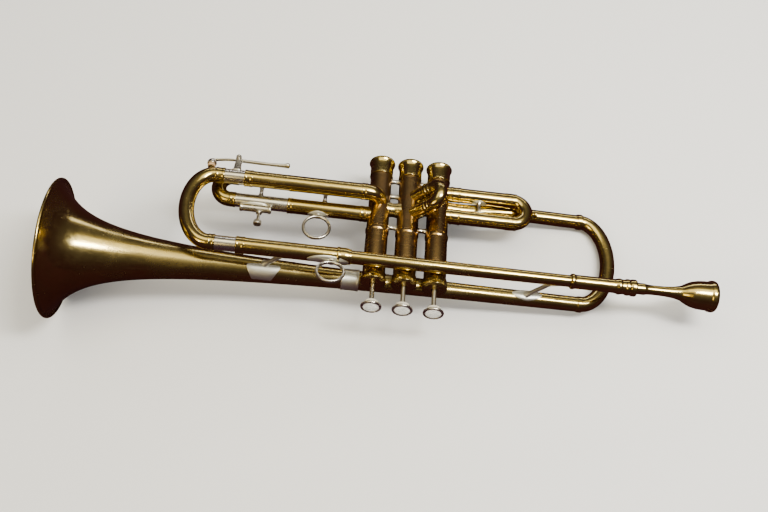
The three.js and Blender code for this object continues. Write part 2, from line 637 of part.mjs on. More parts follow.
VALVES.forEach((number) => {
  const valve = new THREE.Group();
  valve.position.x = valveX(number);
  trumpet.add(valve);
  add(`valve_casing_${number}`, casing(number), RED_BRASS, valve);
  add(`top_cap_${number}`, topCap(), BRASS, valve);
  add(`bottom_cap_${number}`, bottomCap(), BRASS, valve);
  add(`piston_${number}`, piston(number), MONEL, valve);
  add(`valve_guide_${number}`, guide(), BRASS, valve);
  add(`valve_spring_${number}`, spring(), STEEL, valve);
  add(`valve_stem_${number}`, stem(), NICKEL_SILVER, valve);
  add(`stem_felt_${number}`, stemFelt(), FELT, valve);
  add(`finger_button_${number}`, fingerButton(), NICKEL_SILVER, valve);
  add(`pearl_inlay_${number}`, pearlInlay(), PEARL, valve);
});
add('crossover_2_3', crossover(3, CROSSOVER_23), BRASS);
add('crossover_1_2', crossover(2, CROSSOVER_12), BRASS);

add('first_slide_outer', firstOuter(), BRASS);
add('first_slide', firstSlide(), BRASS);
add('second_slide_outer_near', secondOuter(SECOND.nearY), BRASS);
add('second_slide_outer_far', secondOuter(SECOND.farY), BRASS);
add('second_slide', secondSlide(), BRASS);
add('third_slide_outer', thirdOuter(), BRASS);
add('third_slide_legs', thirdLegs(), NICKEL_SILVER);
add('third_slide_bow', thirdBow(), BRASS);
add('lyre_socket', lyreSocket(), NICKEL_SILVER);
add('lyre_screw', lyreScrew(), NICKEL_SILVER);

const thirdRing = add('third_slide_ring', fingerRing(THIRD_RING.radius, 0, 14), NICKEL_SILVER);
thirdRing.position.set(THIRD_RING.x, THIRD.nearY - THIRD.outer - THIRD_RING.radius - GAP * 2, 0);
const pinkyHook = new THREE.Group();
pinkyHook.position.set(PINKY_RING.x, LEADPIPE.y, MAIN_Z);
pinkyHook.rotation.x = -PINKY_RING.tilt;
trumpet.add(pinkyHook);
const pinkyRing = add('pinky_ring', fingerRing(PINKY_RING.radius, -5, 18), NICKEL_SILVER, pinkyHook);
pinkyRing.position.y = -MAIN.outer - PINKY_RING.radius - GAP * 2;

// The overall box runs from bell rim to mouthpiece rim, from the bell's edge to the bottom caps, and
// across the bell.
const boxCentre = point((BELL.rimX + MOUTHPIECE.end) / 2, (BELL.y - BELL.rim + BOTTOM_CAP.end) / 2, BELL.z);
trumpet.position.copy(boxCentre).negate();

export default trumpet;
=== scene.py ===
import json
import math
from contextlib import contextmanager

import bmesh
import bpy
from mathutils import Matrix, Vector


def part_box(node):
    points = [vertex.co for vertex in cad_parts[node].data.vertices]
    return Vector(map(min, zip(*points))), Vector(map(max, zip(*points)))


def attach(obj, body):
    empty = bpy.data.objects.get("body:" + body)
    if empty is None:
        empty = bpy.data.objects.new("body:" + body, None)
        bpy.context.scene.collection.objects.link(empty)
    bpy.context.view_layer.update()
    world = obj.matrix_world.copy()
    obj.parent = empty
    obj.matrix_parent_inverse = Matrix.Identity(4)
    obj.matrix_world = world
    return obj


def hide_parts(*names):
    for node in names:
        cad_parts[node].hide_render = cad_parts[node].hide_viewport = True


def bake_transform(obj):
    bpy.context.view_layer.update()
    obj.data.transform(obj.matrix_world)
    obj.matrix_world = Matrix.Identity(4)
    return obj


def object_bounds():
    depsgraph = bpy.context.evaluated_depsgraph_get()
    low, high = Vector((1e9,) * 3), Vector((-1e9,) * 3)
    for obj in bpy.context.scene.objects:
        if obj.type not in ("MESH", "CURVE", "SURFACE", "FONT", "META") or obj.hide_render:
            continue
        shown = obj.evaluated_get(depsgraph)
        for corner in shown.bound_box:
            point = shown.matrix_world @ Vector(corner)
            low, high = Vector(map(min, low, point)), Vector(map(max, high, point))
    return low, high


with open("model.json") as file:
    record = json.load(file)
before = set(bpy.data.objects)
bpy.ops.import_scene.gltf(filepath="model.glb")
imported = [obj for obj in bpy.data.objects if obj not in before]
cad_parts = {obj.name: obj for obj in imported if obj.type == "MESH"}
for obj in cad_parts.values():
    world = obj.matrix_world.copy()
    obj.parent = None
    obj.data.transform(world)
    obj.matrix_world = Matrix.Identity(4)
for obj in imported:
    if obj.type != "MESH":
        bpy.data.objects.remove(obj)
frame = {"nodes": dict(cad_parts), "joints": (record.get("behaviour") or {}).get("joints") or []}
cad_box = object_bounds()

MM = 0.001
TURN = 2 * math.pi
CRISP = math.radians(38)

# From HOME to the top edge of the casings, towards the finger buttons.
CASING_LEAD = 13.6
casing_low, casing_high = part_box("valve_casing_2")
HOME = Vector(((casing_low.x + casing_high.x) / 2, casing_low.y + CASING_LEAD * MM,
               (casing_low.z + casing_high.z) / 2))


def box(node):
    low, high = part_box(node)
    return (low - HOME) / MM, (high - HOME) / MM


def middle(node):
    low, high = box(node)
    return (low + high) / 2


# --- dimensions from the frame

LEAD_Y, LEAD_Z = middle("leadpipe").yz
BELL_Y, BELL_Z = middle("bell").yz
RIM_X, BELL_END_X = box("bell")[0].x, box("bell")[1].x
RIM_RADIUS = (box("bell")[1].y - box("bell")[0].y) / 2
VALVE_X = {n: middle(f"top_cap_{n}").x for n in (1, 2, 3)}
CASING_RADIUS = 9.5
CASING_TOP, CASING_END = box("valve_casing_1")[0].y, box("valve_casing_1")[1].y
TOP_CAP_Y = box("top_cap_1")[0].y
BOTTOM_CAP_START, BOTTOM_CAP_END = box("bottom_cap_1")[0].y, box("bottom_cap_1")[1].y
MAIN_RADIUS, MAIN_LEG_RADIUS = 6.8, 6.25
MAIN_LOWER_Y = middle("main_slide_outer_lower").y
FIRST_NEAR_Y = box("first_slide_outer")[0].y + 7.1
FIRST_FAR_Y = box("first_slide_outer")[1].y - 7.1
FIRST_END_X = box("first_slide_outer")[1].x
FIRST_SIDES = (("near", FIRST_NEAR_Y), ("far", FIRST_FAR_Y))
THIRD_NEAR_Y = box("third_slide_outer")[0].y + 7.0
THIRD_FAR_Y = box("third_slide_outer")[1].y - 7.0
THIRD_END_X = box("third_slide_outer")[0].x
THIRD_LEG_END_X, THIRD_LEG_RADIUS = box("third_slide_legs")[0].x, 6.05
SECOND_NEAR_Y = middle("second_slide_outer_near").y
SECOND_FAR_Y = middle("second_slide_outer_far").y
SECOND_WAY = Vector(next(j["axis"] for j in frame["joints"] if j["name"] == "second_slide_pull")).normalized()
SECOND_RISE, SECOND_BOW = 24.0, 29.0
WALL = 0.45


# --- mesh tools

def circle(sides):
    """Cosine and sine of equal steps around a circle."""
    return [(math.cos(TURN * s / sides), math.sin(TURN * s / sides)) for s in range(sides)]


def axis_frame(origin, along, side=(0, 0, 1)):
    """Matrix whose Z axis runs along a direction from an origin; X leans towards side."""
    z = Vector(along).normalized()
    x = Vector(side) - z * Vector(side).dot(z)
    if x.length < 1e-4:
        x = Vector((0, 1, 0)) - z * z.y
    x.normalize()
    y = z.cross(x)
    turn = Matrix((x, y, z)).transposed().to_4x4()
    return Matrix.Translation(Vector(origin)) @ turn


def along_x(y, z, x=0.0):
    return axis_frame((x, y, z), (1, 0, 0))


def along_y(x, z=0.0, y=0.0):
    return axis_frame((x, y, z), (0, 1, 0))


def rounded(profile, radius=0.35, steps=4, closed=True):
    """The profile with each corner turned into a small curve."""
    count = len(profile)
    result = []
    for i, corner in enumerate(profile):
        if not closed and i in (0, count - 1):
            result.append(corner)
            continue
        before, here, after = (Vector(profile[(i + k) % count]) for k in (-1, 0, 1))
        reach_in = min(radius, 0.45 * (before - here).length)
        reach_out = min(radius, 0.45 * (after - here).length)
        a = here + (before - here).normalized() * reach_in
        b = here + (after - here).normalized() * reach_out
        for k in range(steps + 1):
            t = k / steps
            result.append(tuple(a * (1 - t) ** 2 + here * 2 * t * (1 - t) + b * t * t))
    return result


@contextmanager
def editing(mesh):
    work = bmesh.new()
    work.from_mesh(mesh)
    yield work
    work.to_mesh(mesh)
    work.free()


def soften(mesh):
    """Smooth shading with the real corners kept crisp."""
    with editing(mesh) as work:
        for face in work.faces:
            face.smooth = True
        for edge in work.edges:
            edge.smooth = len(edge.link_faces) != 2 or edge.calc_face_angle(0) < CRISP


def add_object(name, data):
    added = bpy.data.objects.new(name, data)
    bpy.context.scene.collection.objects.link(added)
    return added


def casing_cutter(number):
    """A rod halfway through the wall of a valve casing, for ending tubes in that wall."""
    sides, radius = 96, 9.0
    rings = [[Vector((VALVE_X[number] + radius * sine, y, radius * cosine)) for cosine, sine in circle(sides)]
             for y in (-60.0, 160.0)]
    vertices = [v * MM + HOME for ring in rings for v in ring]
    faces = [(s, (s + 1) % sides, sides + (s + 1) % sides, sides + s) for s in range(sides)]
    faces += [tuple(range(sides))[::-1], tuple(range(sides, 2 * sides))]
    mesh = bpy.data.meshes.new("cutter")
    mesh.from_pydata(vertices, [], faces)
    with editing(mesh) as work:
        bmesh.ops.recalc_face_normals(work, faces=work.faces)
    return add_object("cutter", mesh)


def trim_to_casings(piece, numbers):
    cutters = [casing_cutter(number) for number in numbers]
    for cutter in cutters:
        cut = piece.modifiers.new("cut", "BOOLEAN")
        cut.operation, cut.solver, cut.object = "DIFFERENCE", "EXACT", cutter
    bpy.context.view_layer.update()
    shown = piece.evaluated_get(bpy.context.evaluated_depsgraph_get())
    trimmed = bpy.data.meshes.new_from_object(shown)
    piece.modifiers.clear()
    piece.data = trimmed
    for cutter in cutters:
        bpy.data.objects.remove(cutter)


def make(name, skinned, body, look, replaces=None, trim=()):
    """A piece from its vertices and faces. It rides on body, unless that is None, and stands for the CAD node
    replaces. Its tube ends are cut at the casings of the valves in trim."""
    vertices, faces = skinned
    mesh = bpy.data.meshes.new(name)
    mesh.from_pydata([Vector(v) * MM + HOME for v in vertices], [], faces)
    mesh.validate()
    with editing(mesh) as work:
        bmesh.ops.remove_doubles(work, verts=work.verts, dist=1e-7)
        bmesh.ops.recalc_face_normals(work, faces=work.faces)
    piece = add_object(name, mesh)
    if trim:
        trim_to_casings(piece, trim)
    soften(piece.data)
    piece.data.materials.append(FINISH[look])
    if body:
        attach(piece, body)
    if replaces:
        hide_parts(replaces)
    return piece


def skin(rings, closed_loop):
    """Faces between rings of vertices; a ring of one vertex is a pole."""
    vertices, starts, faces = [], [], []
    for ring in rings:
        starts.append(len(vertices))
        vertices.extend(ring)
    pairs = list(zip(range(len(rings)), range(1, len(rings))))
    if closed_loop:
        pairs.append((len(rings) - 1, 0))
    for a, b in pairs:
        na, nb = len(rings[a]), len(rings[b])
        sides = max(na, nb)
        for s in range(sides):
            t = (s + 1) % sides
            corners = [starts[a] + s % na, starts[a] + t % na, starts[b] + t % nb, starts[b] + s % nb]
            unique = list(dict.fromkeys(corners))
            if len(unique) >= 3:
                faces.append(unique)
    return vertices, faces


def turned(profile, place, sides=96, knurl=None):
    """Rings of a turned piece: profile is [(radius, along)], place is the matrix of its axis.
    knurl is (count, depth, from, to, radius): ridges between two stations, outside that radius."""
    rings = []
    for radius, along in profile:
        if radius < 1e-6:
            rings.append([place @ Vector((0, 0, along))])
            continue
        ring = []
        for s in range(sides):
            angle = TURN * s / sides
            r = radius
            if knurl and knurl[2] <= along <= knurl[3] and radius > knurl[4]:
                r -= knurl[1] * (0.5 + 0.5 * math.cos(knurl[0] * angle))
            ring.append(place @ Vector((r * math.cos(angle), r * math.sin(angle), along)))
        rings.append(ring)
    return rings


def lathe(name, profile, place, body="horn", look="brass", sides=96, knurl=None, fillet=0.35, replaces=None,
          trim=()):
    on_axis = profile[0][0] < 1e-6
    outline = rounded(profile, fillet, closed=not on_axis) if fillet else profile
    skinned = skin(turned(outline, place, sides, knurl), closed_loop=not on_axis)
    return make(name, skinned, body, look, replaces, trim)


def half_ellipse(start, end, outward, depth, steps=40):
    start, end = Vector(start), Vector(end)
    centre, half = (start + end) / 2, (start - end) / 2
    angles = [math.pi * i / steps for i in range(steps + 1)]
    return [centre + half * math.cos(a) + Vector(outward) * depth * math.sin(a) for a in angles]


def quarter(start, corner, end, steps=18):
    start, corner, end = Vector(start), Vector(corner), Vector(end)
    centre = start + end - corner
    return [centre + (start - centre) * math.cos(math.pi / 2 * i / steps)
            + (end - centre) * math.sin(math.pi / 2 * i / steps) for i in range(steps + 1)]


def smooth_path(points, steps=12):
    """Catmull-Rom curve through the points."""
    points = [Vector(p) for p in points]
    padded = [points[0] * 2 - points[1], *points, points[-1] * 2 - points[-2]]
    result = []
    for i in range(1, len(padded) - 2):
        p0, p1, p2, p3 = padded[i - 1:i + 3]
        for k in range(steps):
            t = k / steps
            result.append(0.5 * ((2 * p1) + (p2 - p0) * t + (2 * p0 - 5 * p1 + 4 * p2 - p3) * t * t
                                 + (3 * p1 - p0 - 3 * p2 + p3) * t ** 3))
    result.append(points[-1])
    return result


def path_rings(path, radius_at, sides, up, flat=1.0):
    """Rings square to a path, turned as little as possible; flat squeezes the up direction."""
    rings = []
    last = len(path) - 1
    across = None
    for i, at in enumerate(path):
        tangent = (path[min(i + 1, last)] - path[max(i - 1, 0)]).normalized()
        if across is None:
            across = tangent.cross(Vector(up)).normalized()
        across = (across - tangent * across.dot(tangent)).normalized()
        rise = across.cross(tangent)
        radius = radius_at(i / last)
        rings.append([at + across * radius * cosine + rise * radius * flat * sine
                      for cosine, sine in circle(sides)])
    return rings


def tube(name, path, radius, body="horn", look="brass", up=(0, 0, 1), sides=56, wall=WALL, replaces=None,
         trim=()):
    """A hollow bent tube with open ends. radius is a number or a function of the share of stations."""
    radius_at = radius if callable(radius) else lambda share: radius
    outer = path_rings(path, radius_at, sides, up)
    inner = path_rings(path, lambda share: radius_at(share) - wall, sides, up)
    return make(name, skin(outer + inner[::-1], closed_loop=True), body, look, replaces, trim)


def bar(name, path, radius_at, body, look="nickel_silver", up=(0, 1, 0), sides=28, flat=1.0, replaces=None):
    """A solid bent bar with rounded ends. radius_at is a function of the share of stations."""
    rings = path_rings(path, radius_at, sides, up, flat)
    first, last = path[0], path[-1]
    start_way = (path[0] - path[1]).normalized()
    end_way = (path[-1] - path[-2]).normalized()
    caps = [math.radians(a) for a in (25, 50, 75)]

    def dome(ring, centre, way):
        size = (ring[0] - centre).length
        return [[centre + (p - centre) * math.cos(a) + way * size * flat * math.sin(a) * 0.8 for p in ring]
                for a in caps]

    start = [[first + start_way * radius_at(0) * flat * 0.8], *dome(rings[0], first, start_way)[::-1]]
    end = [*dome(rings[-1], last, end_way), [last + end_way * radius_at(1) * flat * 0.8]]
    return make(name, skin([*start, *rings, *end], closed_loop=False), body, look, replaces)


def sleeve(name, from_x, to_x, outer, y, z, body="horn", look="brass", replaces=None, wall=WALL, sides=72,
           trim=()):
    profile = [(outer - wall, from_x), (outer, from_x), (outer, to_x), (outer - wall, to_x)]
    return lathe(name, profile, along_x(y, z), body, look, sides, fillet=0.18, replaces=replaces, trim=trim)


def ferrule(name, from_x, to_x, bore, y, z, body="horn", look="brass", lip=0.45, wall=0.55, replaces=None,
            trim=()):
    """A ring over a tube with a bead at each end."""
    outer = bore + wall
    bead = min(1.6, (to_x - from_x) / 4)
    profile = [(bore, from_x), (outer + lip * 0.6, from_x), (outer + lip, from_x + bead * 0.45),
               (outer + lip * 0.7, from_x + bead), (outer, from_x + bead * 1.3), (outer, to_x - bead * 1.3),
               (outer + lip * 0.7, to_x - bead), (outer + lip, to_x - bead * 0.45), (outer + lip * 0.6, to_x),
               (bore, to_x)]
    return lathe(name, profile, along_x(y, z), body, look, fillet=0.3, replaces=replaces, trim=trim)


def spool(name, start, end, waist, foot, body="horn", look="nickel_silver", replaces=None, trim=()):
    """A post that flares smoothly into a foot at each end."""
    start, end = Vector(start), Vector(end)
    length = (end - start).length
    steps = 22
    profile = [(0, 0)]
    for i in range(steps + 1):
        share = i / steps
        near = min(share, 1 - share) * length
        profile.append((waist + (foot - waist) * math.exp(-((near / (foot * 0.62)) ** 1.35)), share * length))
    profile.append((0, length))
    skinned = skin(turned(profile, axis_frame(start, end - start), 40), closed_loop=False)
    return make(name, skinned, body, look, replaces, trim)


def oval(point):
    """Outline of a plate as its reach from the middle at an angle: point 2 is an ellipse, less a lozenge."""
    return lambda angle: (abs(math.cos(angle)) ** point + abs(math.sin(angle)) ** point) ** (-1 / point)


def polygon(corners):
    """The same for a convex outline given by its corners, anticlockwise, in shares of the half sizes."""
    def reach(angle):
        x, y = math.cos(angle), math.sin(angle)
        hits = []
        for (ax, ay), (bx, by) in zip(corners, corners[1:] + corners[:1]):
            cross = x * (by - ay) - y * (bx - ax)
            if cross > 1e-9:
                hits.append((ax * (by - ay) - ay * (bx - ax)) / cross)
        return min(hits)
    return reach


def saddle(name, centre_x, tube_y, tube_z, tube_radius, facing, half_x, half_round, outline, thick=0.8,
           body="horn"):
    """A thin plate that wraps a tube along X. facing is the angle, from +Y towards +Z, of its middle."""
    steps_out, steps_round = 8, 64
    top, under = [], []
    for k in range(steps_out + 1):
        rho = k / steps_out
        ring_top, ring_under = [], []
        for s in range(steps_round):
            angle = TURN * s / steps_round
            x = centre_x + half_x * rho * outline(angle) * math.cos(angle)
            turn = facing + half_round * rho * outline(angle) * math.sin(angle) / tube_radius
            for ring, lift in ((ring_top, thick * (1 - 0.55 * rho ** 6)), (ring_under, -0.25)):
                r = tube_radius + lift
                ring.append(Vector((x, tube_y + r * math.cos(turn), tube_z + r * math.sin(turn))))
        top.append(ring_top if k else [sum(ring_top, Vector()) / steps_round])
        under.append(ring_under if k else [sum(ring_under, Vector()) / steps_round])
    return make(name, skin([*top, *under[::-1]], closed_loop=False), body, "dull_nickel")


# --- finishes

def node_tools(tree):
    """Two functions for a node tree. fill links the sockets among its inputs and sets plain values, where a
    colour is (red, green, blue); add makes a node and fills it."""
    def fill(node, inputs):
        for key, value in inputs.items():
            socket = node.inputs[key]
            if isinstance(value, bpy.types.NodeSocket):
                tree.links.new(value, socket)
            else:
                socket.default_value = (*value, 1) if socket.type == "RGBA" else value

    def add(kind, inputs=None, **settings):
        node = tree.nodes.new(kind)
        for key, value in settings.items():
            setattr(node, key, value)
        fill(node, inputs or {})
        return node

    return fill, add


def new_material(name):
    """A material with its node tools, its shader node and the object's coordinates."""
    material = bpy.data.materials.new(name)
    material.use_nodes = True
    fill, add = node_tools(material.node_tree)
    where = add("ShaderNodeTexCoord").outputs["Object"]
    return material, fill, add, material.node_tree.nodes["Principled BSDF"], where


def noise(add, vector, scale, detail=3.0, stretch=(1, 1, 1), rough=0.55):
    mapped = add("ShaderNodeMapping", {"Vector": vector, "Scale": stretch})
    return add("ShaderNodeTexNoise", {"Vector": mapped.outputs[0], "Scale": scale, "Detail": detail,
                                      "Roughness": rough}).outputs["Fac"]


def ramp(add, value, low, high, out_low=0.0, out_high=1.0):
    return add("ShaderNodeMapRange", {"Value": value, "From Min": low, "From Max": high, "To Min": out_low,
                                      "To Max": out_high}, interpolation_type="SMOOTHSTEP").outputs[0]


def maths(add, operation, a, b=0.0):
    return add("ShaderNodeMath", {0: a, 1: b}, operation=operation).outputs[0]


def mix(add, share, a, b):
    return add("ShaderNodeMix", {0: share, 6: a, 7: b}, data_type="RGBA").outputs[2]


def bumps(add, height, strength, distance):
    return add("ShaderNodeBump", {"Height": height, "Strength": strength, "Distance": distance}).outputs[0]


def metal(name, bright, worn, tarnish, rough, tarnish_share, spots, coat=0.0, coat_tint=(1, 1, 1)):
    """Handled metal: worn and tarnished patches, small spots, hairline scratches, duller in the patches."""
    material, fill, add, shader, where = new_material(name)
    patches = ramp(add, noise(add, where, 26, 5, rough=0.62), 0.44, 0.66)
    blotches = ramp(add, noise(add, where, 95, 4), 0.5, 0.72)
    fine = noise(add, where, 620, 2)
    scratches = ramp(add, noise(add, where, 210, 3, stretch=(0.12, 1.6, 1.6)), 0.52, 0.7)
    cells = add("ShaderNodeTexVoronoi", {"Vector": where, "Scale": 330.0}).outputs["Distance"]
    pits = maths(add, "MULTIPLY", ramp(add, cells, 0.17, 0.06),
                 ramp(add, noise(add, where, 60, 2), 0.55, 0.7))
    rubbed = ramp(add, add("ShaderNodeNewGeometry").outputs["Pointiness"], 0.52, 0.6)
    colour = mix(add, maths(add, "MULTIPLY", patches, tarnish_share), bright, tarnish)
    colour = mix(add, maths(add, "MULTIPLY", blotches, 0.45), colour, worn)
    colour = mix(add, maths(add, "MULTIPLY", pits, spots), colour, tuple(c * 0.25 for c in tarnish))
    colour = mix(add, maths(add, "MULTIPLY", rubbed, 0.35), colour, bright)
    roughness = rough
    for pattern, share in ((patches, 0.12), (fine, 0.07), (scratches, 0.05)):
        roughness = maths(add, "ADD", roughness, maths(add, "MULTIPLY", pattern, share))
    height = maths(add, "ADD", maths(add, "MULTIPLY", scratches, -0.35), maths(add, "MULTIPLY", pits, -0.8))
    height = maths(add, "ADD", height, maths(add, "MULTIPLY", noise(add, where, 70, 2), 1.2))
    fill(shader, {"Base Color": colour, "Roughness": roughness, "Normal": bumps(add, height, 0.06, 0.0006),
                  "Metallic": 1.0, "Coat Weight": coat, "Coat Roughness": 0.07, "Coat Tint": coat_tint})
    return material


def pearl():
    material, fill, add, shader, where = new_material("pearl")
    swirl = noise(add, where, 190, 4, stretch=(1, 1, 1.8), rough=0.6)
    bands = maths(add, "FRACT", maths(add, "MULTIPLY", swirl, 6.0))
    colour = mix(add, ramp(add, bands, 0.2, 0.8), (0.62, 0.64, 0.60), (0.88, 0.85, 0.80))
    colour = mix(add, ramp(add, swirl, 0.55, 0.75), colour, (0.66, 0.72, 0.72))
    fill(shader, {"Base Color": colour, "Roughness": ramp(add, bands, 0.0, 1.0, 0.16, 0.32),
                  "Normal": bumps(add, swirl, 0.08, 0.0003), "Coat Weight": 0.6, "Sheen Weight": 0.15})
    return material


def soft(name, light, dark, scale, strength):
    """Felt or cork: fibrous or granular, fully dull."""
    material, fill, add, shader, where = new_material(name)
    grain = noise(add, where, scale, 5, rough=0.7)
    fill(shader, {"Base Color": mix(add, ramp(add, grain, 0.35, 0.65), dark, light), "Roughness": 0.93,
                  "Normal": bumps(add, grain, strength, 0.0006)})
    return material


# Bright, worn and tarnished colour, roughness, shares of tarnish and spots; then a coat and its tint.
METALS = {
    "brass": ((0.67, 0.56, 0.27), (0.51, 0.41, 0.19), (0.33, 0.275, 0.14), 0.13, 0.5, 0.6, 0.3,
              (1.0, 0.90, 0.60)),
    "red_brass": ((0.56, 0.40, 0.20), (0.50, 0.30, 0.15), (0.25, 0.17, 0.10), 0.19, 0.7, 0.8, 0.1,
                  (1.0, 0.82, 0.6)),
    "nickel_silver": ((0.82, 0.80, 0.73), (0.68, 0.66, 0.57), (0.46, 0.43, 0.34), 0.2, 0.35, 0.4),
    "dull_nickel": ((0.84, 0.84, 0.76), (0.70, 0.71, 0.60), (0.50, 0.50, 0.38), 0.4, 0.35, 0.4),
    "piston_metal": ((0.58, 0.56, 0.52), (0.48, 0.45, 0.41), (0.33, 0.30, 0.26), 0.24, 0.4, 0.3),
    "spring_steel": ((0.60, 0.61, 0.62), (0.48, 0.47, 0.45), (0.30, 0.26, 0.22), 0.25, 0.4, 0.4)}
FINISH = {name: metal(name, *settings) for name, settings in METALS.items()}
FINISH["pearl"] = pearl()
FINISH["felt"] = soft("felt", (0.72, 0.68, 0.58), (0.50, 0.46, 0.37), 900, 0.7)
FINISH["cork"] = soft("cork", (0.62, 0.44, 0.26), (0.34, 0.22, 0.12), 700, 0.5)


# --- bell side

FLARE_LENGTH, FLARE_POWER = 23.0, 0.79


def flare(distance):
    """Outer radius of the bell at a distance behind the rim."""
    return RIM_RADIUS * (FLARE_LENGTH / (distance + FLARE_LENGTH)) ** FLARE_POWER


def make_bell():
    length = BELL_END_X - RIM_X
    sheet, first, steps = 0.7, 1.6, 64
    growth = (length / first) ** (1 / steps)
    distances = [first * growth ** i for i in range(steps + 1)]

    def inner(d):
        slope = FLARE_POWER * flare(d) / (d + FLARE_LENGTH)
        return flare(d) - sheet * math.hypot(1, slope)

    bead = 1.35
    centre = RIM_RADIUS - bead - 0.02
    arc = [(centre + bead * math.cos(math.radians(a)), bead + bead * math.sin(math.radians(a)))
           for a in range(-90, 136, 9)]
    throat = [(flare(d), d) for d in distances if d > 2.1]
    inside = [(inner(d), d) for d in reversed(distances)]
    profile = [(centre - 1.1, 0.02), *arc, *throat, *inside]
    skinned = skin(turned(profile, along_x(BELL_Y, BELL_Z, RIM_X), 192), closed_loop=True)
    make("bell_shell", skinned, "horn", "brass", "bell")


def make_bell_tail():
    low, high = box("bell_ferrule")
    ferrule("bell_tube_ferrule", low.x, high.x, 8.6, BELL_Y, BELL_Z, look="dull_nickel", lip=0.3, wall=0.5,
            replaces="bell_ferrule")
    start_x = box("bell_bow")[0].x
    bow_x, return_x, return_y, return_z = 154.0, 157.0, 82.3, -14.8
    depth = box("bell_bow")[1].x - 6.6 - (bow_x + return_x) / 2
    curve = half_ellipse((bow_x, BELL_Y, BELL_Z), (return_x, return_y, return_z), (1, 0, 0), depth, 56)
    straight = [Vector((start_x, BELL_Y, BELL_Z)), Vector((60, BELL_Y, BELL_Z)),
                Vector((120, BELL_Y, BELL_Z))]
    back = smooth_path([(return_x, return_y, return_z), (97, 82, -13.3), (70, 78.2, -10.5), (46, 74.6, -7.5),
                        (29, 73.8, -5.4)], 8)[1:]
    path = straight + curve + back
    start_radius, end_radius, taper = flare(BELL_END_X - RIM_X), 6.0, 130.0
    lengths = [0.0]
    for a, b in zip(path, path[1:]):
        lengths.append(lengths[-1] + (b - a).length)

    def radius_at(share):
        travelled = lengths[round(share * (len(path) - 1))]
        return end_radius + (start_radius - end_radius) * math.exp(-travelled / taper)

    tube("bell_bow_tube", path, radius_at, sides=64, replaces="bell_bow", trim=(1,))
    for name, at, way in (("near", curve[0], (1, 0, 0)), ("far", curve[-1], (1, 0.04, -0.03))):
        lathe(f"bell_bow_ring_{name}", [(6.3, -2.2), (6.9, -2.2), (7.05, -1.4), (7.05, 1.4), (6.9, 2.2),
                                        (6.3, 2.2)], axis_frame(at, way))


# --- leadpipe, receiver, mouthpiece

LEAD_AXIS = along_x(LEAD_Y, LEAD_Z)


def make_leadpipe():
    low, high = box("leadpipe")
    profile = [(4.95, low.x), (5.7, low.x), (4.95, high.x - 2), (4.2, high.x - 2)]
    lathe("leadpipe_tube", profile, LEAD_AXIS, fillet=0.2, replaces="leadpipe")
    low, high = box("leadpipe_ferrule")
    profile = [(6.82, low.x), (7.3, low.x), (7.6, low.x + 0.8), (7.6, low.x + 2), (7.2, low.x + 2.8),
               (7.2, high.x - 5), (6.8, high.x - 2.4), (6.5, high.x - 1.6), (6.4, high.x), (5.7, high.x),
               (5.7, high.x - 3.6), (6.82, high.x - 3.7)]
    lathe("leadpipe_joint_ring", profile, LEAD_AXIS, replaces="leadpipe_ferrule")
    low, high = box("mouthpiece_receiver")
    end = high.x
    profile = [(5.1, low.x), (6.0, low.x), (6.55, low.x + 0.8), (6.6, low.x + 2.4), (6.1, low.x + 3.4),
               (5.9, low.x + 5), (5.9, end - 18), (6.3, end - 16.6), (6.9, end - 15), (6.8, end - 13.6),
               (6.35, end - 12.6), (6.3, end - 9.4), (6.9, end - 8.6), (7.05, end - 7.2), (6.9, end - 6),
               (6.5, end - 5.4), (6.9, end - 4.6), (7.2, end - 3.4), (7.2, end - 1), (6.8, end - 0.05),
               (5.3, end - 0.05), (5.1, end - 1)]
    lathe("receiver_sleeve", profile, LEAD_AXIS, replaces="mouthpiece_receiver")


def make_mouthpiece():
    low, high = box("mouthpiece")
    seat, end = low.x, high.x
    outside = [(4.3, seat), (4.9, seat + 28), (4.9, seat + 29), (4.35, seat + 31), (4.05, seat + 36),
               (4.2, seat + 46), (4.9, seat + 54), (6.3, end - 29.4), (8.6, end - 25.6), (10.6, end - 21),
               (11.9, end - 15.4), (12.3, end - 9.4), (12.35, end - 6.6), (13.0, end - 5.6),
               (13.4, end - 4.2), (13.4, end - 2.2), (12.7, end - 0.5), (11.2, end - 0.02), (9.6, end - 0.3),
               (8.6, end - 1.2)]
    inside = [(8.25, end - 3), (7.9, end - 7), (7.0, end - 11.5), (5.2, end - 16), (3.2, end - 19.4),
              (1.9, end - 22), (1.83, end - 26), (2.0, end - 34), (3.7, seat)]
    lathe("mouthpiece_cup", outside + inside, LEAD_AXIS, "mouthpiece_body", fillet=1.0,
          replaces="mouthpiece")


# --- braces and rings

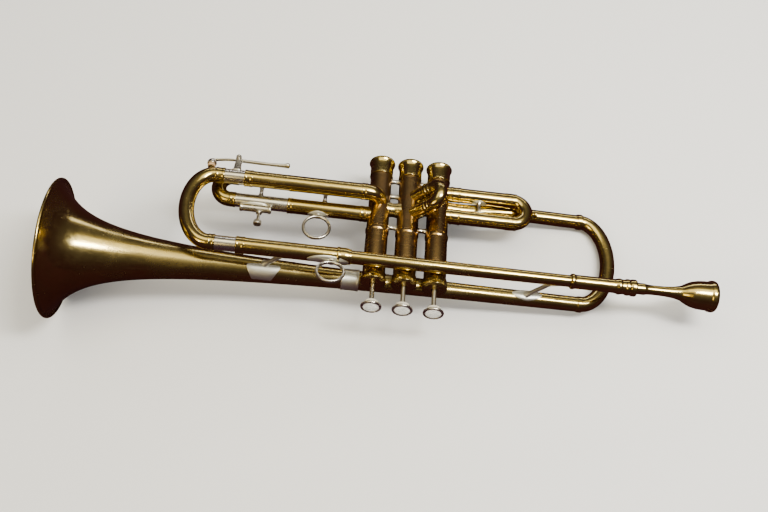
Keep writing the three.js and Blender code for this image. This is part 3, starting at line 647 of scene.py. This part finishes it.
def make_braces():
    lead_surface, bell_surface = LEAD_Z - 5.1, BELL_Z + 6.8
    top_x, low_x = 124.0, 107.0
    spool("receiver_brace_post", (top_x, LEAD_Y, lead_surface + 0.3), (low_x, BELL_Y, bell_surface - 0.2),
          1.9, 3.4, look="dull_nickel", replaces="receiver_brace")
    saddle("receiver_brace_foot_top", top_x, LEAD_Y, LEAD_Z, 5.1, -math.pi / 2, 10, 4.4, oval(1.5))
    saddle("receiver_brace_foot_low", low_x, BELL_Y, BELL_Z, 6.9, math.pi / 2, 13, 5.6, oval(1.5))
    upper = Vector((-101, LEAD_Y, LEAD_Z - MAIN_RADIUS + 0.2))
    lower = Vector((-117, BELL_Y, BELL_Z + flare(-117 - RIM_X) - 0.2))
    spool("bell_brace_post", upper, lower, 1.9, 3.8, look="dull_nickel", replaces="bell_brace")
    saddle("bell_brace_foot_top", upper.x, LEAD_Y, LEAD_Z, MAIN_RADIUS, -math.pi / 2, 9, 4.6, oval(1.6))
    shield = polygon([(-1, -0.72), (-0.9, -0.95), (0.9, -0.95), (1, -0.72), (0.52, 0.95), (-0.52, 0.95)])
    saddle("bell_brace_foot_low", lower.x - 2, BELL_Y, BELL_Z, flare(lower.x - RIM_X), math.radians(132),
           15.5, 7.4, shield, 0.9)


def make_ring(name, centre, radius, tilt, tube_radius, foot, replaces):
    """A finger ring under a tube along X: centre is the point of the tube's axis above the ring, tilt swings
    the ring about that axis, and foot is the saddle plate's shift along X and half length."""
    wire, steps, sides = 1.25, 96, 20
    down = Vector((0, -math.cos(tilt), math.sin(tilt)))
    square = Vector((0, math.sin(tilt), math.cos(tilt)))
    middle_of_ring = centre + down * (tube_radius + radius + 0.6)
    rings = []
    for cosine, sine in circle(steps):
        way = Vector((1, 0, 0)) * cosine + down * sine
        core = middle_of_ring + way * (radius - wire)
        rings.append([core + way * wire * c + square * wire * 1.25 * s for c, s in circle(sides)])
    make(name, skin(rings, closed_loop=True), "horn", "nickel_silver", replaces)
    spool(f"{name}_neck", middle_of_ring - down * (radius - 1.2), centre + down * (tube_radius - 0.4), 1.6,
          3.0)
    saddle(f"{name}_foot", centre.x + foot[0], centre.y, centre.z, tube_radius, math.pi - tilt, foot[1], 4.6,
           oval(1.7))


def make_finger_rings():
    low, high = box("third_slide_ring")
    make_ring("third_slide_finger_ring", Vector(((low.x + high.x) / 2, THIRD_NEAR_Y, 0)), 12.5, 0.0,
              6.6, (0, 9), "third_slide_ring")
    pinky_x = box("pinky_ring")[1].x - 12.3
    make_ring("pinky_hook_ring", Vector((pinky_x, LEAD_Y, LEAD_Z)), 12.3, 0.23, MAIN_RADIUS, (-3, 17),
              "pinky_ring")


# --- main tuning slide

def make_main_slide():
    low, high = box("main_slide_outer_upper")
    sleeve("main_upper_outer_tube", low.x, high.x + 1, MAIN_RADIUS, LEAD_Y, LEAD_Z,
           replaces="main_slide_outer_upper")
    ferrule("main_upper_end_ring", low.x - 0.1, low.x + 7, 6.6, LEAD_Y, LEAD_Z, lip=0.2, wall=0.5)
    start_x = box("main_slide_outer_lower")[0].x
    x3, bend = VALVE_X[3], 11.7
    lower = [Vector((start_x, MAIN_LOWER_Y, LEAD_Z)), Vector((-90, MAIN_LOWER_Y, LEAD_Z))]
    turn = quarter((x3 - bend, MAIN_LOWER_Y, LEAD_Z), (x3, MAIN_LOWER_Y, LEAD_Z),
                   (x3, MAIN_LOWER_Y, LEAD_Z - bend), 26)
    tube("main_lower_outer_tube", lower + turn, MAIN_RADIUS, up=(0, 1, 0),
         replaces="main_slide_outer_lower", trim=(3,))
    ferrule("main_lower_end_ring", start_x - 0.1, start_x + 7, 6.6, MAIN_LOWER_Y, LEAD_Z, lip=0.2, wall=0.5)
    ferrule("main_lower_elbow_ring", x3 - bend - 5, x3 - bend, 6.7, MAIN_LOWER_Y, LEAD_Z, lip=0.25, wall=0.4)
    for name, y in (("upper", LEAD_Y), ("lower", MAIN_LOWER_Y)):
        node = f"main_slide_leg_{name}"
        low, high = box(node)
        sleeve(f"main_{name}_leg", low.x, high.x, MAIN_LEG_RADIUS, y, LEAD_Z, "main_slide", "nickel_silver",
               node)
    low, high = box("main_slide_bow")
    outermost = low.x + 6.45
    curve = half_ellipse((-164, LEAD_Y, LEAD_Z), (-168, MAIN_LOWER_Y, LEAD_Z), (-1, 0, 0), -166 - outermost,
                         64)
    path = [Vector((-158.9, LEAD_Y, LEAD_Z)), *curve, Vector((-161, MAIN_LOWER_Y, LEAD_Z))]
    tube("main_bow_tube", path, 6.45, "main_slide", sides=64, replaces="main_slide_bow")
    for name, from_x, to_x, y in (("upper", -163.8, -158.5, LEAD_Y), ("lower", -168, -160.5, MAIN_LOWER_Y)):
        ferrule(f"main_bow_ferrule_{name}", from_x, to_x, 6.3, y, LEAD_Z, "main_slide", lip=0.25, wall=0.4)
    nipple = middle("water_key_cork").x
    lathe("drain_nipple", [(1.3, 67.5), (3.6, 67.5), (3.1, 70.4), (2.7, 71.6), (2.7, 74.35), (1.3, 74.35)],
          along_y(nipple, LEAD_Z), "main_slide", sides=48)


def make_water_key():
    pivot_x, pivot_y = -151.0, 84.5
    pivot_axis = axis_frame((pivot_x, pivot_y, LEAD_Z), (0, 0, 1), (1, 0, 0))
    low, high = box("water_key")
    cork_x = middle("water_key_cork").x
    cup = [(0, 77.0), (3.3, 77.0), (3.95, 77.4), (4.05, 78.6), (3.7, 80.2), (2.6, 81.8), (1.3, 82.6),
           (0, 82.8)]
    lathe("water_key_cup", cup, along_y(cork_x, LEAD_Z), "water_key_lever", "nickel_silver", 56,
          replaces="water_key")
    lathe("water_key_cork_pad", [(0, 74.65), (3.1, 74.65), (3.3, 75), (3.3, 77.2), (0, 77.2)],
          along_y(cork_x, LEAD_Z), "water_key_lever", "cork", 40, replaces="water_key_cork")
    arm = smooth_path([(cork_x, 82.0, LEAD_Z), (cork_x + 6, 83.2, LEAD_Z), (cork_x + 14, 84.3, LEAD_Z),
                       (pivot_x, pivot_y, LEAD_Z)], 10)
    bar("water_key_cork_arm", arm, lambda t: 1.7 - 0.4 * t, "water_key_lever", flat=0.62)
    touch = smooth_path([(pivot_x, pivot_y, LEAD_Z), (pivot_x + 10, pivot_y - 0.2, LEAD_Z),
                         (pivot_x + 24, pivot_y - 0.4, LEAD_Z), (high.x - 14, pivot_y - 0.2, LEAD_Z),
                         (high.x - 8.5, pivot_y + 0.3, LEAD_Z)], 12)
    bar("water_key_touch", touch, lambda t: 1.6 + max(0.0, (t - 0.55) / 0.45) ** 2, "water_key_lever",
        flat=0.85)
    lathe("water_key_hub", [(1.25, -3.5), (2.4, -3.5), (2.55, -2.9), (2.3, -1.6), (2.3, 1.6), (2.55, 2.9),
                            (2.4, 3.5), (1.25, 3.5)], pivot_axis, "water_key_lever", "nickel_silver", 48)
    surface = MAIN_LOWER_Y + MAIN_LEG_RADIUS
    saddle("water_key_saddle_foot", pivot_x, MAIN_LOWER_Y, LEAD_Z, MAIN_LEG_RADIUS, 0.0, 4.6, 5.6, oval(2.4),
           1.0, "main_slide")
    for side, name in ((-1, "water_key_saddle_low"), (1, "water_key_saddle_high")):
        z = LEAD_Z + side * 4.4
        rise = [(pivot_x, surface - 1.2, z), (pivot_x, surface + 5, z), (pivot_x, pivot_y + 0.9, z)]
        bar(name, smooth_path(rise, 8), lambda t: 2.9 - 0.9 * t, "main_slide", up=(0, 0, 1), flat=0.26)
    lathe("water_key_screw", [(0, -5.3), (1.2, -5.3), (1.2, 4.9), (2.2, 4.9), (2.3, 5.5), (1.8, 6.3),
                              (0.5, 6.4), (0.4, 5.9), (0, 5.9)], pivot_axis, "main_slide", "nickel_silver",
          40, fillet=0.15)


# --- valves

def make_valve(n):
    x = VALVE_X[n]
    place = along_y(x)
    body = f"valve_{n}"
    top, end, r = CASING_TOP, CASING_END, CASING_RADIUS
    ring_y = 36.7
    profile = [(8.5, top), (r, top), (r, ring_y - 2.6), (r + 0.25, ring_y - 2.2), (r + 0.6, ring_y - 1.3),
               (r + 0.6, ring_y + 1.2), (r + 0.25, ring_y + 2.0), (r - 0.1, ring_y + 2.5), (r - 0.1, 94),
               (r, 94.4), (r, end), (8.5, end)]
    lathe(f"casing_shell_{n}", profile, place, look="red_brass", sides=128, fillet=0.25,
          replaces=f"valve_casing_{n}")
    t = TOP_CAP_Y
    cap = [(2.3, t + 0.7), (2.9, t + 0.05), (4.4, t + 0.02), (5.2, t + 0.5), (8.6, t + 0.5), (9.3, t + 0.9),
           (10.1, t + 1.7), (10.6, t + 2.0), (10.75, t + 2.4), (10.75, t + 4.9), (10.5, t + 5.4),
           (10.1, t + 5.7), (10.15, t + 6.6), (10.15, t + 10.4), (9.62, t + 10.5), (9.62, t + 2.6),
           (2.3, t + 2.4)]
    lathe(f"top_cap_cover_{n}", cap, place, sides=288, knurl=(72, 0.28, t + 2.3, t + 5.0, 10.7), fillet=0.25,
          replaces=f"top_cap_{n}")
    s, e = BOTTOM_CAP_START, BOTTOM_CAP_END
    cup = [(9.62, s), (10.2, s + 0.1), (10.35, s + 0.8), (10.1, s + 1.5), (10.1, e - 8.5), (10.15, e - 6.6),
           (10.35, e - 4.9), (10.75, e - 3.4), (11.3, e - 2.2), (11.6, e - 1.7), (11.6, e - 0.7),
           (11.35, e - 0.15), (10.8, e), (9.2, e), (8.5, e - 0.5), (7.9, e - 1.3), (6.2, e - 1.5),
           (2.6, e - 1.1), (1.5, e - 1.1), (1.5, e - 1.9), (9.62, e - 2.0)]
    lathe(f"bottom_cap_cup_{n}", cup, place, sides=288, knurl=(72, 0.22, e - 1.9, e - 0.4, 11.4), fillet=0.2,
          replaces=f"bottom_cap_{n}")
    low, high = box(f"valve_stem_{n}")
    stem = [(0, low.y), (1.5, low.y), (1.9, low.y + 0.8), (1.9, high.y - 1.9), (2.2, high.y - 1.5),
            (3.9, high.y - 1.3), (3.9, high.y), (0, high.y)]
    lathe(f"stem_rod_{n}", stem, place, body, "nickel_silver", 48, fillet=0.2, replaces=f"valve_stem_{n}")
    b = -39.5
    button = [(0, b + 1.2), (6.75, b + 1.2), (6.8, b + 0.25), (7.1, b), (8.1, b), (8.6, b + 0.3),
              (8.78, b + 0.9), (8.7, b + 1.5), (8.0, b + 2.1), (6.8, b + 2.5), (4.6, b + 2.9), (3.2, b + 3.6),
              (2.75, b + 4.6), (2.7, b + 5.8), (0, b + 5.8)]
    lathe(f"button_dish_{n}", button, place, body, "nickel_silver", 96, fillet=0.25,
          replaces=f"finger_button_{n}")
    disc = [(0, b - 0.38), (2.2, b - 0.33), (4.4, b - 0.18), (5.8, b + 0.05), (6.55, b + 0.35),
            (6.65, b + 0.7), (6.65, b + 1.15), (0, b + 1.15)]
    lathe(f"pearl_disc_{n}", disc, place, body, "pearl", 72, fillet=0.2, replaces=f"pearl_inlay_{n}")
    low, high = box(f"stem_felt_{n}")
    felt = [(2.8, low.y), (5.6, low.y), (5.8, low.y + 0.5), (5.8, high.y - 0.5), (5.5, high.y), (2.8, high.y)]
    lathe(f"felt_washer_{n}", felt, place, body, "felt", 48, replaces=f"stem_felt_{n}")


def make_spring(n):
    """A coil around a valve's axis. In the real valve it is fixed to the casing at its far end and pressed by
    the piston; here it rides on no body and keeps its length.
    """
    x = VALVE_X[n]
    low, high = box(f"valve_spring_{n}")
    turns, steps, coil_radius, margin = 9, 30, 5.2, 0.7
    path = []
    for i in range(turns * steps + 1):
        angle = TURN * i / steps
        share = i / (turns * steps)
        path.append(Vector((x + coil_radius * math.cos(angle),
                            low.y + margin + (high.y - low.y - 2 * margin) * share,
                            coil_radius * math.sin(angle))))
    coil = bar(f"valve_coil_{n}", path, lambda t: 0.45, None, "spring_steel", sides=10,
               replaces=f"valve_spring_{n}")
    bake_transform(coil)


def make_valve_links():
    half = (VALVE_X[2] - VALVE_X[3]) / 2
    for node, left, end, waist, posts in (
            ("crossover_2_3", 3, 7.2, 6.05, ((42.5, "button_end"), (76, "middle"), (92.7, "cap_end"))),
            ("crossover_1_2", 2, 5.6, 4.85, ((42.5, "button_end"), (92.7, "cap_end")))):
        centre_x = VALVE_X[left] + half
        flare_side = [(waist, 0), (waist + 0.1, 1.3), (waist + 0.35, 2.6), (waist + 0.7, 4.0), (end, 6.4)]
        profile = [(4.4, -6.4), *[(r, -x) for r, x in reversed(flare_side[1:])], *flare_side, (4.4, 6.4)]
        lathe(f"{node}_tube", profile, along_x(middle(node).y, 0, centre_x), sides=72, replaces=node,
              trim=(left, left - 1))
        for post_y, name in posts:
            spool(f"post_{node[10:]}_{name}", (VALVE_X[left] + 8, post_y, 0),
                  (VALVE_X[left - 1] - 8, post_y, 0), 1.7, 3.4, trim=(left, left - 1))


# --- valve slides

def make_first_slide():
    start, outer_radius = VALVE_X[1] + 5, 6.5
    for name, y in FIRST_SIDES:
        outer_node = "first_slide_outer" if name == "near" else None
        sleeve(f"first_outer_{name}", start, FIRST_END_X, outer_radius, y, 0, replaces=outer_node, trim=(1,))
        ferrule(f"first_collar_{name}", VALVE_X[1] + 11, VALVE_X[1] + 20, 6.35, y, 0, lip=0.3, wall=0.4)
        ferrule(f"first_end_ring_{name}", FIRST_END_X - 4.5, FIRST_END_X + 0.1, 6.35, y, 0, lip=0.15,
                wall=0.35)
    brace_x = 62.7
    spool("first_brace_post", (brace_x, FIRST_NEAR_Y + 6.2, 0), (brace_x, FIRST_FAR_Y - 6.2, 0), 1.5, 3.0)
    for name, y, facing in (("near", FIRST_NEAR_Y, 0.0), ("far", FIRST_FAR_Y, math.pi)):
        saddle(f"first_brace_foot_{name}", brace_x, y, 0, outer_radius, facing, 6.5, 3.6, oval(1.6))
    low, high = box("first_slide")
    depth = (FIRST_FAR_Y - FIRST_NEAR_Y) / 2
    bow_x = FIRST_END_X + 1.2
    curve = half_ellipse((bow_x, FIRST_NEAR_Y, 0), (bow_x, FIRST_FAR_Y, 0), (1, 0, 0), depth, 48)
    near_leg = [Vector((low.x, FIRST_NEAR_Y, 0)), Vector((FIRST_END_X - 1, FIRST_NEAR_Y, 0))]
    far_leg = [Vector((FIRST_END_X - 1, FIRST_FAR_Y, 0)), Vector((low.x, FIRST_FAR_Y, 0))]
    tube("first_bow_tube", near_leg + curve + far_leg, 5.95, "first_valve_slide", replaces="first_slide")
    tube("first_bow_sleeve", curve, 6.35, "first_valve_slide", wall=0.5)
    for name, y in FIRST_SIDES:
        ferrule(f"first_bow_ferrule_{name}", FIRST_END_X + 0.35, FIRST_END_X + 5, 6.2, y, 0,
                "first_valve_slide", lip=0.12, wall=0.35)
    knob_x = high.x
    knob = [(0, knob_x - 4.9), (2.2, knob_x - 4.9), (1.5, knob_x - 3.9), (1.5, knob_x - 3.2),
            (2.7, knob_x - 2.5), (2.9, knob_x - 1.7), (2.8, knob_x - 0.8), (2.0, knob_x - 0.2),
            (0, knob_x - 0.05)]
    lathe("first_pull_knob", knob, along_x(FIRST_NEAR_Y + depth, 0), "first_valve_slide", sides=48)


def make_second_slide():
    for node, y in (("second_slide_outer_near", SECOND_NEAR_Y), ("second_slide_outer_far", SECOND_FAR_Y)):
        place = axis_frame((0, y, 0), SECOND_WAY)
        profile = [(5.75, 5), (6.2, 5), (6.2, SECOND_RISE - 3.4), (6.6, SECOND_RISE - 3),
                   (6.68, SECOND_RISE - 1.6), (6.5, SECOND_RISE), (5.75, SECOND_RISE)]
        lathe(f"{node}_tube", profile, place, sides=72, replaces=node, trim=(2,))
    leg_end = SECOND_RISE + 0.3
    depth = (SECOND_FAR_Y - SECOND_NEAR_Y) / 2
    base = [SECOND_WAY * t for t in (12, leg_end, SECOND_BOW)]
    near, far = Vector((0, SECOND_NEAR_Y, 0)), Vector((0, SECOND_FAR_Y, 0))
    curve = half_ellipse(near + base[2], far + base[2], SECOND_WAY, depth, 40)
    path = [near + base[0], near + base[1], *curve, far + base[1], far + base[0]]
    up = Vector((SECOND_WAY.z, 0, -SECOND_WAY.x))
    tube("second_bow_tube", path, 5.65, "second_valve_slide", up=up, replaces="second_slide")
    sleeve_path = [near + base[1] + SECOND_WAY * 1.5, *curve, far + base[1] + SECOND_WAY * 1.5]
    tube("second_bow_sleeve", sleeve_path, 6.0, "second_valve_slide", up=up, wall=0.3)
    for name, side in (("near", near), ("far", far)):
        lathe(f"second_bow_ferrule_{name}", [(5.7, leg_end), (6.2, leg_end), (6.3, leg_end + 0.8),
                                             (6.2, leg_end + 3), (5.7, leg_end + 3)],
              axis_frame(side, SECOND_WAY), "second_valve_slide", sides=64, fillet=0.25)


def make_third_slide():
    start = VALVE_X[3] - 5
    for name, y in (("near", THIRD_NEAR_Y), ("far", THIRD_FAR_Y)):
        outer_node = "third_slide_outer" if name == "near" else None
        leg_node = "third_slide_legs" if name == "near" else None
        sleeve(f"third_outer_{name}", THIRD_END_X, start, 6.6, y, 0, replaces=outer_node, trim=(3,))
        ferrule(f"third_end_ring_{name}", THIRD_END_X, THIRD_END_X + 4.6, 6.4, y, 0, lip=0.2, wall=0.35)
        ferrule(f"third_collar_{name}", VALVE_X[3] - 16, VALVE_X[3] - 10, 6.4, y, 0, lip=0.25, wall=0.4)
        sleeve(f"third_leg_{name}", THIRD_LEG_END_X, -48, THIRD_LEG_RADIUS, y, 0, "third_valve_slide",
               "nickel_silver", leg_node)
        ferrule(f"third_bow_ferrule_{name}", THIRD_LEG_END_X - 1.6, THIRD_LEG_END_X + 3.4, 6.05, y, 0,
                "third_valve_slide", lip=0.15, wall=0.4)
    for name, body, x, seat in (("fixed", "horn", -73.4, 6.3), ("moving", "third_valve_slide", -129, 5.8)):
        spool(f"third_{name}_brace", (x, THIRD_NEAR_Y + seat, 0), (x, THIRD_FAR_Y - seat, 0), 1.5, 3.2, body)
    bow_x = THIRD_LEG_END_X - 1.9
    depth = bow_x - (box("third_slide_bow")[0].x + 6.4)
    curve = half_ellipse((bow_x, THIRD_NEAR_Y, 0), (bow_x, THIRD_FAR_Y, 0), (-1, 0, 0), depth, 48)
    tube("third_bow_tube", curve, 6.4, "third_valve_slide", replaces="third_slide_bow")


def make_lyre_socket():
    low, high = box("lyre_socket")
    y, z = high.y - 3.6, middle("lyre_socket").z
    profile = [(2.1, low.x), (3.1, low.x), (3.6, low.x + 0.6), (3.6, low.x + 2), (3.2, low.x + 2.6),
               (3.2, high.x - 2.6), (3.6, high.x - 2), (3.6, high.x - 0.6), (3.1, high.x), (2.1, high.x)]
    lathe("lyre_holder", profile, along_x(y, z), "third_valve_slide", "nickel_silver", 56,
          replaces="lyre_socket")
    screw_x = middle("lyre_screw").x
    lathe("lyre_holder_boss", [(1.45, low.y), (2.3, low.y), (2.6, low.y + 0.5), (2.9, y - 2.4),
                               (1.45, y - 2.4)], along_y(screw_x, z), "third_valve_slide", "nickel_silver",
          48)
    saddle("lyre_holder_foot", (low.x + high.x) / 2, THIRD_NEAR_Y, 0, THIRD_LEG_RADIUS,
           math.pi - math.atan2(z, THIRD_NEAR_Y - y), 10, 3.6, oval(2.2), 1.2, "third_valve_slide")
    low, high = box("lyre_screw")
    screw = [(0, low.y), (2.6, low.y), (3.3, low.y + 0.4), (3.45, low.y + 1), (3.45, low.y + 3.2),
             (3.2, low.y + 3.9), (2.2, low.y + 4.6), (1.4, low.y + 5.4), (1.2, low.y + 6), (1.2, high.y),
             (0, high.y)]
    lathe("lyre_thumb_head", screw, along_y(screw_x, z), "lyre_thumb_screw", "nickel_silver", 160,
          (32, 0.3, low.y + 0.9, low.y + 3.3, 3.3), 0.2, "lyre_screw")


# --- build the object

make_bell()
make_bell_tail()
make_leadpipe()
make_mouthpiece()
make_braces()
make_finger_rings()
make_main_slide()
make_water_key()
for number in (1, 2, 3):
    make_valve(number)
    make_spring(number)
make_valve_links()
make_first_slide()
make_second_slide()
make_third_slide()
make_lyre_socket()
for number in (1, 2, 3):
    for node, look in ((f"piston_{number}", "piston_metal"), (f"valve_guide_{number}", "brass")):
        shown = frame["nodes"][node]
        shown.data.materials.clear()
        shown.data.materials.append(FINISH[look])


# --- floor, light and camera

PALE = (0.86, 0.855, 0.84)


def resting_plane():
    """Point and upward normal of the plane the object lies on: the hull face under its middle."""
    hull = bmesh.new()
    for node in frame["nodes"].values():
        for vertex in node.data.vertices:
            hull.verts.new(vertex.co)
    bmesh.ops.remove_doubles(hull, verts=hull.verts, dist=2e-4)
    made = bmesh.ops.convex_hull(hull, input=hull.verts)
    inside = [v for v in made["geom_interior"] if isinstance(v, bmesh.types.BMVert)]
    bmesh.ops.delete(hull, geom=inside, context="VERTS")
    bmesh.ops.triangulate(hull, faces=hull.faces)
    over = (casing_low + casing_high) / 2
    found = []
    for face in hull.faces:
        a, b, c = (v.co for v in face.verts)
        normal = (b - a).cross(c - a)
        if normal.length < 1e-9:
            continue
        normal.normalize()
        if normal.z < 0:
            normal = -normal
        if normal.z < 0.5:
            continue
        drop = (a - over).dot(normal) / normal.z
        at = over + Vector((0, 0, drop))
        areas = [((q - p).cross(at - p)).dot(normal) for p, q in ((a, b), (b, c), (c, a))]
        if drop < 0 and (all(s >= -1e-12 for s in areas) or all(s <= 1e-12 for s in areas)):
            found.append((drop, at, normal))
    hull.free()
    return min(found, key=lambda face: face[0])[1:]


def make_floor():
    at, normal = resting_plane()
    gap, reach = 0.0003, 6.0
    place = axis_frame(at - normal * gap, normal, (1, 0, 0))
    mesh = bpy.data.meshes.new("floor")
    corners = ((-reach, -reach), (reach, -reach), (reach, reach), (-reach, reach))
    mesh.from_pydata([place @ Vector((x, y, 0)) for x, y in corners], [], [(0, 1, 2, 3)])
    material, fill, add, shader, where = new_material("floor")
    fill(shader, {"Base Color": PALE, "Roughness": 0.9})
    # Painted dark reflection: rays mirrored off the metal see the floor as a dark maroon, while the camera
    # and the lamps see it pale.
    dark = add("ShaderNodeBsdfDiffuse", {"Color": (0.04, 0.016, 0.024)})
    painted_dark_reflection = add("ShaderNodeMixShader", {0: add("ShaderNodeLightPath").outputs["Is Glossy Ray"],
                                       1: shader.outputs[0], 2: dark.outputs[0]})
    sided = add("ShaderNodeMixShader", {0: add("ShaderNodeNewGeometry").outputs["Backfacing"],
                                        1: painted_dark_reflection.outputs[0],
                                        2: add("ShaderNodeBsdfTransparent").outputs[0]})
    fill(material.node_tree.nodes["Material Output"], {"Surface": sided.outputs[0]})
    mesh.materials.append(material)
    add_object("floor", mesh)


def make_world():
    """A dim room with a pale ceiling as mirrored by the metal; plain and pale for everything else."""
    world = bpy.data.worlds.new("studio")
    bpy.context.scene.world = world
    world.use_nodes = True
    nodes = world.node_tree.nodes
    fill, add = node_tools(world.node_tree)
    split = add("ShaderNodeSeparateXYZ", {0: add("ShaderNodeTexCoord").outputs["Generated"]})
    height = add("ShaderNodeMapRange", {"From Min": -1.0, "Value": split.outputs["Z"]})
    sky = add("ShaderNodeValToRGB", {0: height.outputs[0]})
    stops = sky.color_ramp.elements
    stops[0].color, stops[1].color = (0.50, 0.48, 0.45, 1), (0.34, 0.31, 0.25, 1)
    for position, colour in ((0.2, (0.30, 0.28, 0.26, 1)), (0.38, (0.12, 0.10, 0.10, 1)),
                             (0.49, (0.055, 0.022, 0.032, 1)), (0.67, (0.055, 0.032, 0.034, 1)),
                             (0.875, (0.10, 0.09, 0.08, 1)), (0.95, (0.26, 0.23, 0.18, 1))):
        stops.new(position).color = colour
    fill(nodes["Background"], {"Color": sky.outputs[0]})
    plain = add("ShaderNodeBackground", {"Color": PALE, "Strength": 0.75})
    chosen = add("ShaderNodeMixShader", {0: add("ShaderNodeLightPath").outputs["Is Glossy Ray"],
                                         1: plain.outputs[0], 2: nodes["Background"].outputs[0]})
    fill(nodes["World Output"], {"Surface": chosen.outputs[0]})


def softbox(name, at, aim, width, height, power, colour=(1, 1, 1)):
    light = bpy.data.lights.new(name, "AREA")
    light.shape = "RECTANGLE"
    light.size, light.size_y = width, height
    light.energy = power
    light.color = colour
    add_object(name, light).matrix_world = axis_frame(at, Vector(at) - Vector(aim), (1, 0, 0))


def make_lights():
    aim = (0, 0, 0)
    softbox("ceiling_light", (0.50, -0.24, 1.25), (0.40, 0, 0), 0.72, 0.22, 14, (1.0, 0.98, 0.94))
    softbox("ceiling_bounce", (-0.10, 0.08, 1.40), (-0.08, 0, 0), 1.9, 0.72, 6.5, (1.0, 0.90, 0.62))
    softbox("window", (-1.12, -1.12, 0.86), aim, 0.14, 0.15, 0.8, (0.98, 0.98, 1.0))
    softbox("warm_wall", (-0.92, -0.98, 0.92), aim, 0.9, 0.5, 3.4, (1.0, 0.76, 0.30))
    softbox("back_fill", (0.1, 1.3, 0.7), aim, 1.4, 0.16, 2.0, (1.0, 0.98, 0.94))


EYE = Vector((-58.74, -451.02, 688.94)) * MM + HOME
AZIMUTH, ELEVATION, ROLL = math.radians(-0.67), math.radians(49.26), math.radians(6.95)
LENS = 46.0


def make_camera():
    """A fixed eye point and tilt, turned the least that aims the camera at the object's middle."""
    data = bpy.data.cameras.new("camera")
    camera = add_object("camera", data)
    bpy.context.scene.camera = camera
    level = math.cos(ELEVATION)
    back = Vector((math.sin(AZIMUTH) * level, -math.cos(AZIMUTH) * level, math.sin(ELEVATION)))
    right = Vector((0, 0, 1)).cross(back).normalized()
    up = back.cross(right)
    tipped_right = right * math.cos(ROLL) + up * math.sin(ROLL)
    tipped_up = up * math.cos(ROLL) - right * math.sin(ROLL)
    target = (cad_box[0] + cad_box[1]) / 2
    turn = back.rotation_difference(EYE - target).to_matrix()
    camera.matrix_world = (turn @ Matrix((tipped_right, tipped_up, back)).transposed()).to_4x4()
    camera.location = EYE
    data.sensor_width = 36.0
    data.lens = LENS
    data.clip_start, data.clip_end = 0.02, 60.0


make_floor()
make_world()
make_lights()
make_camera()
bpy.context.scene.view_settings.look = "AgX - Medium High Contrast"
